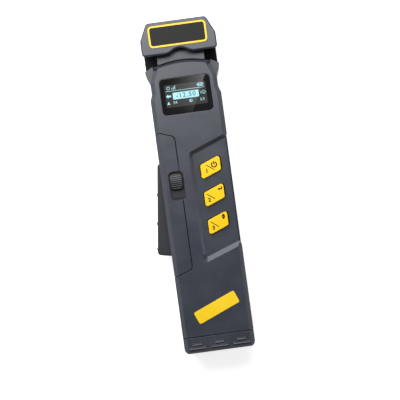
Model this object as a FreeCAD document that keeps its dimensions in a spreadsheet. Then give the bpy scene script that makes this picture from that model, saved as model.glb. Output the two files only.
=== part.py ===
"""Optical fibre identifier: a hand-held tester that clips on a live fibre.

The part lies on its back: +Z is the front face, +Y points to the head, the origin is on the back.
Squeezing the trigger on the left side swings its arm, which lifts the clamp jaw against the anvil.
"""
import FreeCAD, Part
import math
import os
import re
import Sketcher

Vector = FreeCAD.Vector

# Driving dimensions in millimetres (angles in degrees)
SIZES = {
    # Outline of the two covers, seen from the front
    "body_half_width": 20.75,
    "waist_half_width": 19.5,
    "ear_half_width": 21.9,
    "body_end_y": -87.6,
    "shoulder_y": 51.6,
    "waist_low_y": 55.2,
    "waist_high_y": 62.3,
    "ear_full_y": 69.2,
    "ear_tip_y": 69.6,
    "ear_peak_x": 16.9,
    "ear_peak_y": 72.1,
    "ear_curve": 11.0,
    "head_side_y": 85.2,
    "head_corner_x": 17.1,
    "head_top_y": 94.6,
    # Depths of the covers
    "front_z": 28.0,
    "split_z": 14.0,
    "ear_top_z": 21.0,
    "side_wall": 2.2,
    "face_wall": 2.5,
    "edge_chamfer": 2.4,
    "back_chamfer": 1.6,
    "seam": 0.5,
    "running_gap": 0.3,
    # Side panel over the left front corner
    "panel_edge_x": -9.9,
    "panel_cut_x": -11.4,
    "panel_bend_x": -17.9,
    "panel_low_y": -51.9,
    "panel_high_y": 32.0,
    "panel_corner": 2.6,
    # Arched top edge of the front cover and its seal
    "arch_end_x": 16.7,
    "arch_end_y": 69.2,
    "arch_radius": 57.0,
    "seal_end_x": 16.1,
    "seal_end_y": 70.6,
    "seal_radius": 51.1,
    "seal_drop": 0.4,
    "seal_slope": 1.0,
    "arch_bevel": 0.4,
    # Fibre slot, anvil and jaw
    "slot_floor_z": 3.0,
    "slot_roof_y": 82.3,
    "bend_radius": 40.0,
    "anvil_half_width": 7.5,
    "anvil_foot_y": 79.2,
    "anvil_flare_x": 19.0,
    "anvil_flare_y": 82.1,
    "anvil_top_y": 88.0,
    "anvil_front_z": 20.0,
    "detector_x": 3.6,
    "detector_y": 79.6,
    "detector_tilt": 38.0,
    "detector_radius": 1.9,
    "detector_length": 5.0,
    "detector_sink": 1.0,
    "jaw_half_width": 13.8,
    "jaw_low_y": 64.5,
    "jaw_shoulder_y": 71.55,
    "jaw_back_z": 5.3,
    "jaw_lip_z": 24.4,
    "neck_low_z": 25.0,
    "neck_front_z": 28.4,
    "neck_low_y": 71.75,
    "neck_top_y": 81.3,
    "neck_bevel": 0.3,
    "pad_half_width": 9.0,
    "pad_side_y": 73.0,
    "pad_thickness": 1.0,
    # Jaw stem, its spring and the trigger
    "stem_low_z": 8.3,
    "stem_high_z": 12.8,
    "stem_left_x": 5.5,
    "stem_right_x": 12.3,
    "spring_x": -1.0,
    "spring_low_y": 30.5,
    "spring_high_y": 47.0,
    "spring_radius": 2.4,
    "spring_wire": 0.35,
    "spring_pitch": 5.1,
    "pivot_x": -14.8,
    "pivot_y": 18.5,
    "pivot_radius": 3.2,
    "pin_radius": 1.25,
    "pin_fit": 0.06,
    "pin_low_z": 1.0,
    "pin_high_z": 21.8,
    "pin_boss_radius": 2.6,
    "arm_length": 29.0,
    "arm_low_z": 3.3,
    "arm_high_z": 7.4,
    "nose_radius": 2.0,
    "nose_gap": 0.4,
    "trigger_low_z": 8.0,
    "trigger_high_z": 18.0,
    "trigger_top_y": 15.0,
    "trigger_end_y": -37.9,
    "trigger_top_x": -22.2,
    "trigger_end_x": -29.1,
    "trigger_corner": 2.0,
    "trigger_bevel": 0.8,
    "lever_top_x": -16.9,
    "lever_end_x": -19.9,
    "ridge_radius": 1.7,
    "ridge_height": 0.35,
    "trigger_gap": 0.4,
    "opening_low_y": -41.2,
    "opening_high_y": 16.0,
    "lug_left_x": -16.5,
    "lug_width": 1.0,
    "lug_top_y": -5.2,
    "lug_length": 3.2,
    "lug_high_z": 21.5,
    # Lock slider
    "slider_x": -12.05,
    "slider_y": 3.5,
    "slider_width": 8.0,
    "slider_length": 10.4,
    "slider_corner": 2.4,
    "slider_bevel": 0.5,
    "slider_top_z": 28.6,
    "slider_travel": 5.8,
    "slider_plate_low_z": 24.8,
    "slider_plate_high_z": 26.6,
    "slider_gap": 0.35,
    "plate_side": 1.3,
    "plate_lap": 0.7,
    "slot_wall": 1.1,
    "groove_drop": 10.2,
    "groove_half_width": 0.25,
    "groove_depth": 0.5,
    "rib_height": 0.55,
    "rib_pitch": 1.0,
    "rib_half_length": 3.2,
    "rib_half_width": 0.4,
    "rib_slope": 0.35,
    # Keys and their recess
    "key_x": 8.85,
    "key_first_y": 9.2,
    "key_pitch": 16.25,
    "key_width": 12.3,
    "key_height": 7.9,
    "key_rise": 4.35,
    "key_corner": 1.4,
    "key_top_z": 27.3,
    "key_rim": 0.4,
    "key_flange": 0.8,
    "key_flange_low_z": 22.7,
    "key_flange_high_z": 23.7,
    "key_gap": 0.3,
    "recess_floor_z": 26.0,
    "recess_back_z": 24.0,
    "recess_side_x": 19.55,
    "recess_out_x": 23.0,
    "recess_left_x": -0.8,
    "recess_top_y": 17.35,
    "recess_low_y": -42.9,
    "recess_side_bevel": 1.9,
    "recess_top_bevel": 1.55,
    "recess_low_bevel": 3.4,
    "recess_floor_corner": 0.8,
    "recess_mouth_corner": 2.4,
    "recess_top_slope": 0.38,
    "recess_low_slope": 0.36,
    "flat_low_y": -35.2,
    "flat_high_y": 24.4,
    "flat_run": 7.2,
    # Display
    "display_x": 0.3,
    "window_y": 52.5,
    "window_width": 29.4,
    "window_height": 21.1,
    "window_corner": 2.6,
    "window_seat_z": 26.2,
    "window_gap": 0.15,
    "screen_y": 53.4,
    "screen_width": 24.4,
    "screen_height": 16.0,
    "screen_frame": 1.4,
    # Circuit board
    "board_low_z": 18.4,
    "board_high_z": 20.0,
    "board_left_x": -10.6,
    "board_right_x": 16.4,
    "board_low_y": -36.0,
    "board_high_y": 62.5,
    "standoff_half": 1.3,
    "switch_size": 6.0,
    "switch_height": 1.2,
    "switch_stem": 0.4,
    "switch_stem_radius": 1.6,
    # Head cap and its label plate
    "cap_half_width": 21.85,
    "cap_side_y": 85.4,
    "cap_corner_x": 17.3,
    "cap_top_y": 95.2,
    "cap_front_z": 34.8,
    "cap_corner": 2.5,
    "cap_rim": 0.8,
    "cap_roof_z": 32.8,
    "cap_wall_y": 82.5,
    "lip_y": 76.3,
    "lip_corner": 2.0,
    "notch_half_width": 8.7,
    "notch_depth": 2.7,
    "label_y": 86.8,
    "label_width": 33.7,
    "label_height": 12.7,
    "label_corner": 2.3,
    "label_sink": 0.4,
    # Battery bay, cells and end cap
    "cell_radius": 5.25,
    "cell_x": 6.0,
    "cell_low_y": -90.0,
    "cell_high_y": -45.5,
    "cell_nub": 1.0,
    "cell_nub_radius": 1.9,
    "contact_radius": 2.4,
    "bay_half_width": 12.0,
    "bay_wall": 1.2,
    "bay_stop_y": -43.2,
    "cap_split_y": -88.05,
    "cap_end_y": -97.2,
    "cap_end_half_width": 20.7,
    "cap_end_corner": 3.0,
    "cap_end_bevel": 1.0,
    "cap_boss_y": -90.6,
    "tongue_half_width": 8.6,
    "tongue_low_z": 17.5,
    "tongue_high_z": 20.5,
    "tongue_tip_y": -82.5,
    "grip_rib_high": 0.5,
    # Yellow plate on the lower body
    "badge_x": 1.2,
    "badge_y": -72.2,
    "badge_width": 26.6,
    "badge_height": 7.6,
    "badge_corner": 1.1,
    "badge_turn": 22.3,
    "badge_thickness": 0.25,
    # Screws
    "screw_x": 15.6,
    "screw_head_y": 40.6,
    "screw_end_y": -62.0,
    "screw_post_half": 2.6,
    "screw_head_radius": 2.3,
    "screw_head_low_z": 0.4,
    "screw_head_sink": 2.0,
    "screw_radius": 1.0,
    "screw_tip_z": 22.5,
}

SLIDER_RIBS = 4
GRIP_RIBS = {-91.8: 5.3, -94.0: 9.7}
GRIP_RIB_WIDTH = 0.9
GRIP_COLUMN_PITCH = 12.9
TRIGGER_RIDGES = (0.34, 0.66, 0.94)
STEM_SIDES = 8
CONTACT_SIDES = 12
SCREW_HEAD_SIDES = 16
SCREW_SHANK_SIDES = 6
SPRING_WIRE_SIDES = 4
KEY_NAMES = ["key_power", "key_reference", "key_set"]
SIDES = {"left": -1, "right": 1}
SCREW_PLACES = [(x, y) for x in ("-screw_x", "screw_x") for y in ("screw_head_y", "screw_end_y")]

ALIAS = re.compile(r"\b(" + "|".join(SIZES) + r")\b")

doc = FreeCAD.newDocument("fibre_identifier")
sheet = doc.addObject("Spreadsheet::Sheet", "dims")
for row, (alias, value) in enumerate(SIZES.items(), 1):
    sheet.set("A%d" % row, alias)
    sheet.set("B%d" % row, str(value))
    sheet.setAlias("B%d" % row, alias)
doc.recompute()

subparts = {}


def bind(text):
    """An expression on the sheet's cells, such as "-body_half_width + side_wall"."""
    return ALIAS.sub(r"dims.\1", str(text))


def number(text):
    """The present value of an expression on the sheet's cells."""
    return float(sheet.evalExpression(bind(text)))


def rectangle(low_x, high_x, low_y, high_y):
    return [(low_x, low_y), (high_x, low_y), (high_x, high_y), (low_x, high_y)]


def rounded_rectangle(centre_x, centre_y, width, height, corner):
    """A closed loop with four round corners."""
    low_x, high_x = "%s - (%s) / 2" % (centre_x, width), "%s + (%s) / 2" % (centre_x, width)
    low_y, high_y = "%s - (%s) / 2" % (centre_y, height), "%s + (%s) / 2" % (centre_y, height)
    return [
        ("%s - %s" % (high_x, corner), low_y),
        (high_x, "%s + %s" % (low_y, corner), "right", corner),
        (high_x, "%s - %s" % (high_y, corner)),
        ("%s - %s" % (high_x, corner), high_y, "right", corner),
        ("%s + %s" % (low_x, corner), high_y),
        (low_x, "%s - %s" % (high_y, corner), "right", corner),
        (low_x, "%s + %s" % (low_y, corner)),
        ("%s + %s" % (low_x, corner), low_y, "right", corner),
    ]


def mirrored(chain, crown=(), sole=()):
    """A loop from its right-hand corners, bottom to top; crown and sole bend the edges across the middle."""
    loop = [chain[0][:2] + tuple(sole)] + chain[1:]
    bends = [corner[2:] for corner in chain[1:]] + [tuple(crown)]
    for corner, bend in zip(reversed(chain), reversed(bends)):
        if corner[0] != "0":
            loop.append(("-(%s)" % corner[0], corner[1]) + bend)
        else:
            loop[0] = corner[:2] + bend
    return loop


def circle(centre_x, centre_y, radius):
    return ("circle", centre_x, centre_y, radius)


def arc_between(start, end, side, radius):
    """An arc that bulges to one side of the way from start to end, drawn counter-clockwise."""
    chord = end - start
    across = Vector(chord.y, -chord.x, 0).normalize()
    if side == "left":
        across = -across
    half = chord.Length / 2
    sagitta = radius - math.sqrt(radius ** 2 - half ** 2)
    crest = (start + end) / 2 + across * sagitta
    return Part.Arc(start, crest, end) if side == "right" else Part.Arc(end, crest, start)


def constrain(sketch, kind, value, *where):
    index = sketch.addConstraint(Sketcher.Constraint(kind, *where, number(value)))
    sketch.setExpression("Constraints[%d]" % index, bind(value))


def add_circle(sketch, centre_x, centre_y, radius):
    centre = Vector(number(centre_x), number(centre_y), 0)
    edge = sketch.addGeometry(Part.Circle(centre, Vector(0, 0, 1), number(radius)))
    constrain(sketch, "DistanceX", centre_x, -1, 1, edge, 3)
    constrain(sketch, "DistanceY", centre_y, -1, 1, edge, 3)
    constrain(sketch, "Radius", radius, edge)


def add_loop(sketch, corners):
    """Edges through the corners in turn; a corner with a side and a radius is reached by an arc."""
    points = [Vector(number(corner[0]), number(corner[1]), 0) for corner in corners]
    edges = []
    for place, corner in enumerate(corners):
        start, end = points[place - 1], points[place]
        if len(corner) == 2:
            edges.append((sketch.addGeometry(Part.LineSegment(start, end)), 1, 2))
        else:
            side, radius = corner[2:]
            edge = sketch.addGeometry(arc_between(start, end, side, number(radius)))
            edges.append((edge, 1, 2) if side == "right" else (edge, 2, 1))
    for place, corner in enumerate(corners):
        edge, _, end = edges[place]
        next_edge, next_start, _ = edges[(place + 1) % len(edges)]
        sketch.addConstraint(Sketcher.Constraint("Coincident", edge, end, next_edge, next_start))
        constrain(sketch, "DistanceX", corner[0], -1, 1, edge, end)
        constrain(sketch, "DistanceY", corner[1], -1, 1, edge, end)
        if len(corner) > 2:
            constrain(sketch, "Radius", corner[3], edge)


def draw(body, name, loops, height):
    """A sketch parallel to the front face, at a height above the back."""
    plane = [feature for feature in body.Origin.OriginFeatures if feature.Role == "XY_Plane"][0]
    sketch = body.newObject("Sketcher::SketchObject", name + "_outline")
    sketch.AttachmentSupport = (plane, [""])
    sketch.MapMode = "FlatFace"
    sketch.setExpression("AttachmentOffset.Base.z", bind(height))
    for loop in loops:
        if loop[0] == "circle":
            add_circle(sketch, *loop[1:])
        else:
            add_loop(sketch, loop)
    return sketch


def settle(feature):
    """Compute a new feature, and stop at once if it failed."""
    doc.recompute()
    if {"Invalid", "Error"} & set(feature.State):
        raise RuntimeError("%s failed" % feature.Name)


def grow(body, name, loops, low, high):
    """Add the loops' area between two heights."""
    sketch = draw(body, name, loops, low)
    pad = body.newObject("PartDesign::Pad", name)
    pad.Profile = sketch
    pad.setExpression("Length", bind("(%s) - (%s)" % (high, low)))
    settle(pad)


def carve(body, name, loops, low, high):
    """Take the loops' area away between two heights."""
    before = body.Shape.Volume
    sketch = draw(body, name, loops, low)
    pocket = body.newObject("PartDesign::Pocket", name)
    pocket.Profile = sketch
    pocket.Reversed = True
    pocket.setExpression("Length", bind("(%s) - (%s)" % (high, low)))
    settle(pocket)
    if body.Shape.Volume >= before:
        raise RuntimeError("%s cuts nothing" % name)


def soften(body, kind, name, size, chosen):
    """Chamfer or fillet the edges of the body that a test picks out."""
    tip = body.Tip
    edges = ["Edge%d" % place for place, edge in enumerate(tip.Shape.Edges, 1) if chosen(edge)]
    feature = body.newObject("PartDesign::" + kind, name)
    feature.Base = (tip, edges)
    feature.setExpression("Size" if kind == "Chamfer" else "Radius", bind(size))
    settle(feature)


def lies_at(edge, height):
    """Whether the whole edge is at one height."""
    box = edge.BoundBox
    return abs(box.ZMin - number(height)) < 0.01 and abs(box.ZMax - number(height)) < 0.01


def is_upright(edge):
    box = edge.BoundBox
    return box.XLength < 0.01 and box.YLength < 0.01


def new_body(name):
    body = doc.addObject("PartDesign::Body", name)
    subparts[name] = body
    return body


def primitive(kind, name, **sizes):
    """A Part primitive whose sizes follow the sheet."""
    shape = doc.addObject("Part::" + kind, name)
    for key, value in sizes.items():
        shape.setExpression(key, bind(value))
    return shape


def block(name, low_x, high_x, low_y, high_y, low_z, high_z):
    """A rectangular block between six bound places."""
    solid = primitive("Box", name,
                      Length="(%s) - (%s)" % (high_x, low_x),
                      Width="(%s) - (%s)" % (high_y, low_y),
                      Height="(%s) - (%s)" % (high_z, low_z))
    for axis, low in zip("xyz", (low_x, low_y, low_z)):
        solid.setExpression("Placement.Base." + axis, bind(low))
    return solid


def lay_bar(bar, x, y, z, direction):
    """Put a bar's foot at a bound place and point it along a fixed direction."""
    bar.Placement = FreeCAD.Placement(Vector(), FreeCAD.Rotation(Vector(0, 0, 1), Vector(*direction)))
    for axis, place in zip("xyz", (x, y, z)):
        bar.setExpression("Placement.Base." + axis, bind(place))
    return bar


def round_bar(name, radius, length, x, y, z, direction=(0, 0, 1)):
    return lay_bar(primitive("Cylinder", name, Radius=radius, Height=length), x, y, z, direction)


def polygon_bar(name, sides, radius, length, x, y, z, direction=(0, 0, 1)):
    """A bar with a regular section, for small round pieces."""
    bar = primitive("Prism", name, Circumradius=radius, Height=length)
    bar.Polygon = sides
    return lay_bar(bar, x, y, z, direction)


def combine(kind, name, pieces):
    """A fuse or a compound of pieces."""
    whole = doc.addObject("Part::" + kind, name)
    if kind == "MultiFuse":
        whole.Shapes = pieces
    else:
        whole.Links = pieces
    doc.recompute()
    return whole


def screw_circles(radius):
    return [circle(x, y, radius) for x, y in SCREW_PLACES]


def squares(places, half):
    """Square loops around the given places."""
    return [rectangle("%s - %s" % (x, half), "%s + %s" % (x, half),
                      "%s - %s" % (y, half), "%s + %s" % (y, half)) for x, y in places]


# Right-hand outline that both covers share, from the battery end to the waist
COVER_SIDE = [
    ("body_half_width", "body_end_y"),
    ("body_half_width", "shoulder_y"),
    ("waist_half_width", "waist_low_y"),
    ("waist_half_width", "waist_high_y"),
]
# The same outline inside the walls
INNER_SIDE = [
    ("body_half_width - side_wall", "body_end_y + side_wall"),
    ("body_half_width - side_wall", "shoulder_y - 1"),
    ("waist_half_width - side_wall", "waist_low_y - 1"),
]
JAW_CHANNEL = rectangle("-jaw_half_width - running_gap", "jaw_half_width + running_gap",
                        "waist_high_y - 2", "ear_peak_y + 2")
TRIGGER_WINDOW = rectangle("-ear_half_width", "-body_half_width + side_wall + trigger_gap",
                           "opening_low_y", "opening_high_y")
PIN_HOLE = circle("pivot_x", "pivot_y", "pin_radius + 0.02")


def make_rear_cover():
    """Back shell: tray, ears beside the fibre slot and the base of the head."""
    body = new_body("rear_cover")
    ear_edge = ("ear_half_width", "ear_full_y", "right", "ear_curve")
    head_edge = [("ear_half_width", "head_side_y"), ("head_corner_x", "head_top_y")]
    grow(body, "tray", [mirrored(COVER_SIDE + [ear_edge] + head_edge)], 0, "split_z")
    soften(body, "Chamfer", "back_edges", "back_chamfer",
           lambda edge: lies_at(edge, 0) and edge.CenterOfMass.y > number("body_end_y") + 1)
    right_ear = [
        ("waist_half_width", "waist_high_y"), ear_edge, ("ear_half_width", "ear_tip_y"),
        ("ear_peak_x", "ear_peak_y"), ("ear_peak_x", "arch_end_y + 0.1"),
    ]
    left_ear = [("-(%s)" % corner[0], corner[1]) for corner in reversed(right_ear)]
    left_ear[-1] += ("right", "ear_curve")
    grow(body, "ears", [right_ear, left_ear], "split_z", "ear_top_z")
    grow(body, "head_base", [mirrored([("ear_half_width", "slot_roof_y")] + head_edge)],
         "split_z", "ear_top_z")
    inner = INNER_SIDE + [("waist_half_width - side_wall", "waist_high_y + 3.5")]
    carve(body, "tray_hollow", [mirrored(inner)], "face_wall", "split_z")
    carve(body, "jaw_channel", [JAW_CHANNEL], "jaw_back_z - running_gap", "ear_top_z")
    slot = [("ear_peak_x", "ear_peak_y"), ("ear_half_width + 1", "ear_tip_y - 0.5"),
            ("ear_half_width + 1", "slot_roof_y")]
    carve(body, "fibre_slot", [mirrored(slot)], "slot_floor_z", "ear_top_z + 1")
    cavity = [("anvil_flare_x + 0.1", "slot_roof_y - 1"), ("anvil_flare_x + 0.1", "head_side_y"),
              ("head_corner_x - 1.6", "head_top_y - 3")]
    carve(body, "head_hollow", [mirrored(cavity)], "slot_floor_z", "ear_top_z + 1")
    carve(body, "cell_mouth", [rectangle("-bay_half_width", "bay_half_width", "body_end_y - 1",
                                         "body_end_y + side_wall + 0.5")], "face_wall", "split_z")
    rails = [("bay_half_width", "body_end_y + side_wall"),
             ("bay_half_width + bay_wall", "body_end_y + side_wall"),
             ("bay_half_width + bay_wall", "bay_stop_y + bay_wall")]
    bay = mirrored(rails) + [("-bay_half_width", "bay_stop_y"), ("bay_half_width", "bay_stop_y")]
    grow(body, "battery_bay", [bay], "face_wall", "split_z")
    grow(body, "spring_wall", [rectangle("spring_x - 4", "spring_x + 4.5", "spring_high_y",
                                         "spring_high_y + 1.6")], "face_wall", "split_z")
    grow(body, "screw_posts", squares(SCREW_PLACES, "screw_post_half"), "face_wall", "split_z")
    carve(body, "screw_holes", screw_circles("screw_radius + running_gap"), 0, "split_z")
    carve(body, "screw_seats", screw_circles("screw_head_radius + 0.2"), 0, "screw_head_sink")
    carve(body, "pin_hole", [PIN_HOLE], "pin_low_z", "face_wall")
    carve(body, "trigger_window", [TRIGGER_WINDOW], "trigger_low_z - trigger_gap", "split_z")


def key_loop(row, grown):
    """Outline of one slanted key, or of an opening around it."""
    centre_y = "key_first_y - %d * key_pitch" % row
    half_x = "(key_width / 2 + %s)" % grown
    half_y = "(key_height / 2 + %s)" % grown
    lift = "key_rise * %s / key_width" % half_x
    return [
        ("key_x - %s" % half_x, "%s - %s - %s" % (centre_y, half_y, lift)),
        ("key_x + %s" % half_x, "%s - %s + %s" % (centre_y, half_y, lift)),
        ("key_x + %s" % half_x, "%s + %s + %s" % (centre_y, half_y, lift)),
        ("key_x - %s" % half_x, "%s + %s - %s" % (centre_y, half_y, lift)),
    ]


def is_key_hole_corner(edge):
    """Whether an edge is an upright corner of a key's opening."""
    across = abs(edge.CenterOfMass.x - number("key_x")) - number("key_width / 2 + key_gap")
    return is_upright(edge) and abs(across) < 0.01


def recess_loop(left_x, top_y, low_y, corner):
    """Outline of the key recess at one depth: round left corners, and open through the right side."""
    run = "(recess_out_x - (%s))" % left_x
    low_length, top_length = "sqrt(1 + recess_low_slope ^ 2)", "sqrt(1 + recess_top_slope ^ 2)"
    low_reach = "%s * (%s + recess_low_slope)" % (corner, low_length)
    top_reach = "%s * (%s - recess_top_slope)" % (corner, top_length)
    low_step, top_step = "%s / %s" % (low_reach, low_length), "%s / %s" % (top_reach, top_length)
    return [
        ("%s + %s" % (left_x, low_step), "%s + recess_low_slope * %s" % (low_y, low_step), "right", corner),
        ("recess_out_x", "%s + recess_low_slope * %s" % (low_y, run)),
        ("recess_out_x", "%s + recess_top_slope * %s" % (top_y, run)),
        ("%s + %s" % (left_x, top_step), "%s + recess_top_slope * %s" % (top_y, top_step)),
        (left_x, "%s - %s" % (top_y, top_reach), "right", corner),
        (left_x, "%s + %s" % (low_y, low_reach)),
    ]


def carve_key_recess(body):
    """Slanted recess with bevelled walls, and the flat it leaves in the right side."""
    before = body.Shape.Volume
    floor = draw(body, "recess_floor", [recess_loop("recess_left_x", "recess_top_y", "recess_low_y",
                                                    "recess_floor_corner")], "recess_floor_z")
    mouth = draw(body, "recess_mouth", [recess_loop("recess_left_x - recess_side_bevel",
                                                    "recess_top_y + recess_top_bevel",
                                                    "recess_low_y - recess_low_bevel",
                                                    "recess_mouth_corner")], "front_z")
    loft = body.newObject("PartDesign::SubtractiveLoft", "key_recess")
    loft.Profile = floor
    loft.Sections = [mouth]
    doc.recompute()
    if body.Shape.Volume >= before:
        raise RuntimeError("key_recess cuts nothing")
    flat = [("recess_side_x", "flat_low_y"), ("recess_out_x", "flat_low_y - flat_run"),
            ("recess_out_x", "flat_high_y + flat_run"), ("recess_side_x", "flat_high_y")]
    carve(body, "side_flat", [flat], "split_z + 1", "front_z")


def slider_plate_loop(margin, run):
    """Outline of the plate under the slider's knob, with a margin and the run it slides through."""
    half_width = "(slider_width / 2 + plate_side + %s)" % margin
    half_length = "(slider_length / 2 + slider_travel + plate_lap + %s)" % margin
    return rectangle("slider_x - " + half_width, "slider_x + " + half_width,
                     "slider_y - %s - %s" % (half_length, run), "slider_y + " + half_length)


def make_front_shell():
    """Whole front shell, before the side panel is parted from it."""
    body = doc.addObject("PartDesign::Body", "front_shell")
    arch = ("right", "arch_radius")
    outline = mirrored(COVER_SIDE + [("arch_end_x", "arch_end_y")], crown=arch)
    grow(body, "shell_block", [outline], "split_z", "front_z")
    soften(body, "Chamfer", "front_edges", "edge_chamfer",
           lambda edge: lies_at(edge, "front_z") and abs(edge.CenterOfMass.x) > number("arch_end_x") - 1)
    soften(body, "Chamfer", "arch_edge", "arch_bevel",
           lambda edge: lies_at(edge, "front_z") and edge.CenterOfMass.y > number("arch_end_y"))
    roof = "front_z - face_wall"
    inner = INNER_SIDE + [("waist_half_width - side_wall", "waist_high_y - 1"),
                          ("jaw_half_width + running_gap", "arch_end_y - 2")]
    carve(body, "shell_hollow", [mirrored(inner)], "split_z", roof)
    carve(body, "neck_channel", [JAW_CHANNEL], "split_z", roof)
    backing_x = "recess_left_x - 2.4"
    backing = [(backing_x, "recess_low_y - 4.1"), ("body_half_width - side_wall", "recess_low_y + 4.9"),
               ("body_half_width - side_wall", "recess_top_y + 10.6"), (backing_x, "recess_top_y + 2.6")]
    grow(body, "recess_backing", [backing], "recess_back_z", roof)
    carve_key_recess(body)
    carve(body, "key_holes", [key_loop(row, "key_gap") for row in range(len(KEY_NAMES))],
          "recess_back_z - 1", "recess_floor_z + 0.5")
    soften(body, "Fillet", "key_hole_corners", "key_corner + key_gap", is_key_hole_corner)
    carve(body, "window_seat", [rounded_rectangle("display_x", "window_y", "window_width + 2 * window_gap",
                                                  "window_height + 2 * window_gap", "window_corner")],
          "window_seat_z", "front_z + 1")
    carve(body, "display_hole", [rectangle("display_x - screen_width / 2", "display_x + screen_width / 2",
                                           "screen_y - screen_height / 2", "screen_y + screen_height / 2")],
          "front_z - face_wall - 1", "window_seat_z")
    slot_length = "slider_length + slider_travel + 2 * slider_gap"
    carve(body, "slider_slot", [rounded_rectangle("slider_x", "slider_y - slider_travel / 2",
                                                  "slider_width + 2 * slider_gap", slot_length,
                                                  "slider_corner + slider_gap")],
          "front_z - face_wall - 1", "front_z + 1")
    carve(body, "slider_bay", [slider_plate_loop("running_gap", "slider_travel")],
          "front_z - face_wall - 1", "front_z - slot_wall")
    carve(body, "trigger_window", [TRIGGER_WINDOW], "split_z", "trigger_high_z + trigger_gap")
    grow(body, "pin_boss", [circle("pivot_x", "pivot_y", "pin_boss_radius")],
         "trigger_high_z + trigger_gap", roof)
    carve(body, "pin_socket", [PIN_HOLE], "trigger_high_z + trigger_gap", "pin_high_z + 0.2")
    grow(body, "screw_posts", squares(SCREW_PLACES, "screw_post_half"), "split_z", roof)
    carve(body, "screw_sockets", screw_circles("screw_radius + 0.05"), "split_z", "screw_tip_z + 0.5")
    standoffs = [("board_left_x + 2.2", "screw_head_y - 2.5"), ("board_right_x - 1.4", "screw_head_y - 6"),
                 ("board_left_x + 2.2", "board_low_y + 3"), ("board_right_x - 1.4", "board_low_y + 2.2")]
    grow(body, "board_standoffs", squares(standoffs, "standoff_half"), "board_high_z", roof)
    carve(body, "tongue_slot", [rectangle("-tongue_half_width - running_gap",
                                          "tongue_half_width + running_gap", "body_end_y - 1",
                                          "body_end_y + side_wall + 0.5")],
          "tongue_low_z - running_gap", "tongue_high_z + running_gap")
    return body


def panel_region(name, margin):
    """Prism that parts the side panel from the front shell, with a margin around it."""
    body = doc.addObject("PartDesign::Body", name)
    corner = ("right", "panel_corner + %s" % margin)
    edge_x, cut_x = "panel_edge_x + %s" % margin, "panel_cut_x + 0.7 * %s" % margin
    loop = [
        ("-ear_half_width - 2", "panel_low_y - %s" % margin),
        ("panel_bend_x", "panel_low_y + 0.9 - %s" % margin),
        (cut_x, "panel_low_y + 3.2 - 0.7 * %s" % margin),
        (edge_x, "panel_low_y + 5.3") + corner,
        (edge_x, "panel_high_y - 4.6"),
        (cut_x, "panel_high_y - 2.5 + 0.7 * %s" % margin) + corner,
        ("panel_bend_x", "panel_high_y - 0.1 + %s" % margin),
        ("-ear_half_width - 2", "panel_high_y + %s" % margin),
    ]
    grow(body, name + "_prism", [loop], "split_z - 1", "front_z + 2")
    return body


def make_front_pieces():
    """Front cover and side panel, parted along the seam."""
    shell = make_front_shell()
    cover = doc.addObject("Part::Cut", "front_cover")
    cover.Base = shell
    cover.Tool = panel_region("panel_opening", "seam")
    panel = doc.addObject("Part::Common", "side_panel")
    panel.Base = shell
    panel.Tool = panel_region("panel_block", 0)
    doc.recompute()
    subparts["front_cover"] = cover
    subparts["side_panel"] = panel


def make_neck_seal():
    """Dark strip along the arched top edge of the front cover."""
    body = new_body("neck_seal")
    loop = mirrored([("arch_end_x - 0.1", "arch_end_y + 0.05"), ("seal_end_x", "seal_end_y")],
                    crown=("right", "seal_radius"), sole=("left", "arch_radius"))
    top = "front_z - seal_drop"
    grow(body, "seal_strip", [loop], "front_z - face_wall", top)
    soften(body, "Chamfer", "seal_edge", "seal_slope",
           lambda edge: lies_at(edge, top) and abs(edge.CenterOfMass.x) < 1
           and edge.CenterOfMass.y > number("seal_end_y") + 1.3)


def make_display_window():
    body = new_body("display_window")
    loop = rounded_rectangle("display_x", "window_y", "window_width", "window_height",
                             "window_corner - window_gap")
    grow(body, "window_pane", [loop], "window_seat_z", "front_z - 0.1")


def make_keys():
    """Three slanted keys, each with a flange behind the cover."""
    for row, name in enumerate(KEY_NAMES):
        body = new_body(name)
        grow(body, name + "_cap", [key_loop(row, 0)], "key_flange_high_z", "key_top_z")
        soften(body, "Fillet", name + "_corners", "key_corner", is_upright)
        soften(body, "Chamfer", name + "_rim", "key_rim", lambda edge: lies_at(edge, "key_top_z"))
        grow(body, name + "_flange", [key_loop(row, "key_flange")], "key_flange_low_z", "key_flange_high_z")


def make_lock_slider():
    """Ribbed knob, the plate that closes its slot and the tongue that blocks the trigger's lug."""
    body = new_body("lock_slider")
    grow(body, "slider_plate", [slider_plate_loop(0, 0)], "slider_plate_low_z", "slider_plate_high_z")
    groove = rectangle("slider_x - slider_width / 2", "slider_x + slider_width / 2",
                       "slider_y - groove_drop - groove_half_width",
                       "slider_y - groove_drop + groove_half_width")
    carve(body, "plate_groove", [groove], "slider_plate_high_z - groove_depth", "slider_plate_high_z")
    knob = rounded_rectangle("slider_x", "slider_y", "slider_width", "slider_length", "slider_corner")
    grow(body, "slider_knob", [knob], "slider_plate_high_z", "slider_top_z")
    soften(body, "Chamfer", "knob_rim", "slider_bevel", lambda edge: lies_at(edge, "slider_top_z"))
    ribs = []
    for step in range(-SLIDER_RIBS, SLIDER_RIBS + 1):
        middle = "slider_y + %d * rib_pitch" % step
        ribs.append(rectangle("slider_x - rib_half_length", "slider_x + rib_half_length",
                              middle + " - rib_half_width", middle + " + rib_half_width"))
    rib_top = "slider_top_z + rib_height"
    grow(body, "knob_ribs", ribs, "slider_top_z", rib_top)
    soften(body, "Chamfer", "rib_slopes", "rib_slope",
           lambda edge: lies_at(edge, rib_top) and edge.BoundBox.YLength < 0.01)
    tongue = rectangle("lug_left_x + lug_width + running_gap", "lug_left_x + lug_width + 2.1",
                       "lug_top_y + 2.2", "lug_top_y + 9")
    grow(body, "lock_tongue", [tongue], "trigger_high_z + 1.2", "slider_plate_low_z")


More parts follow.
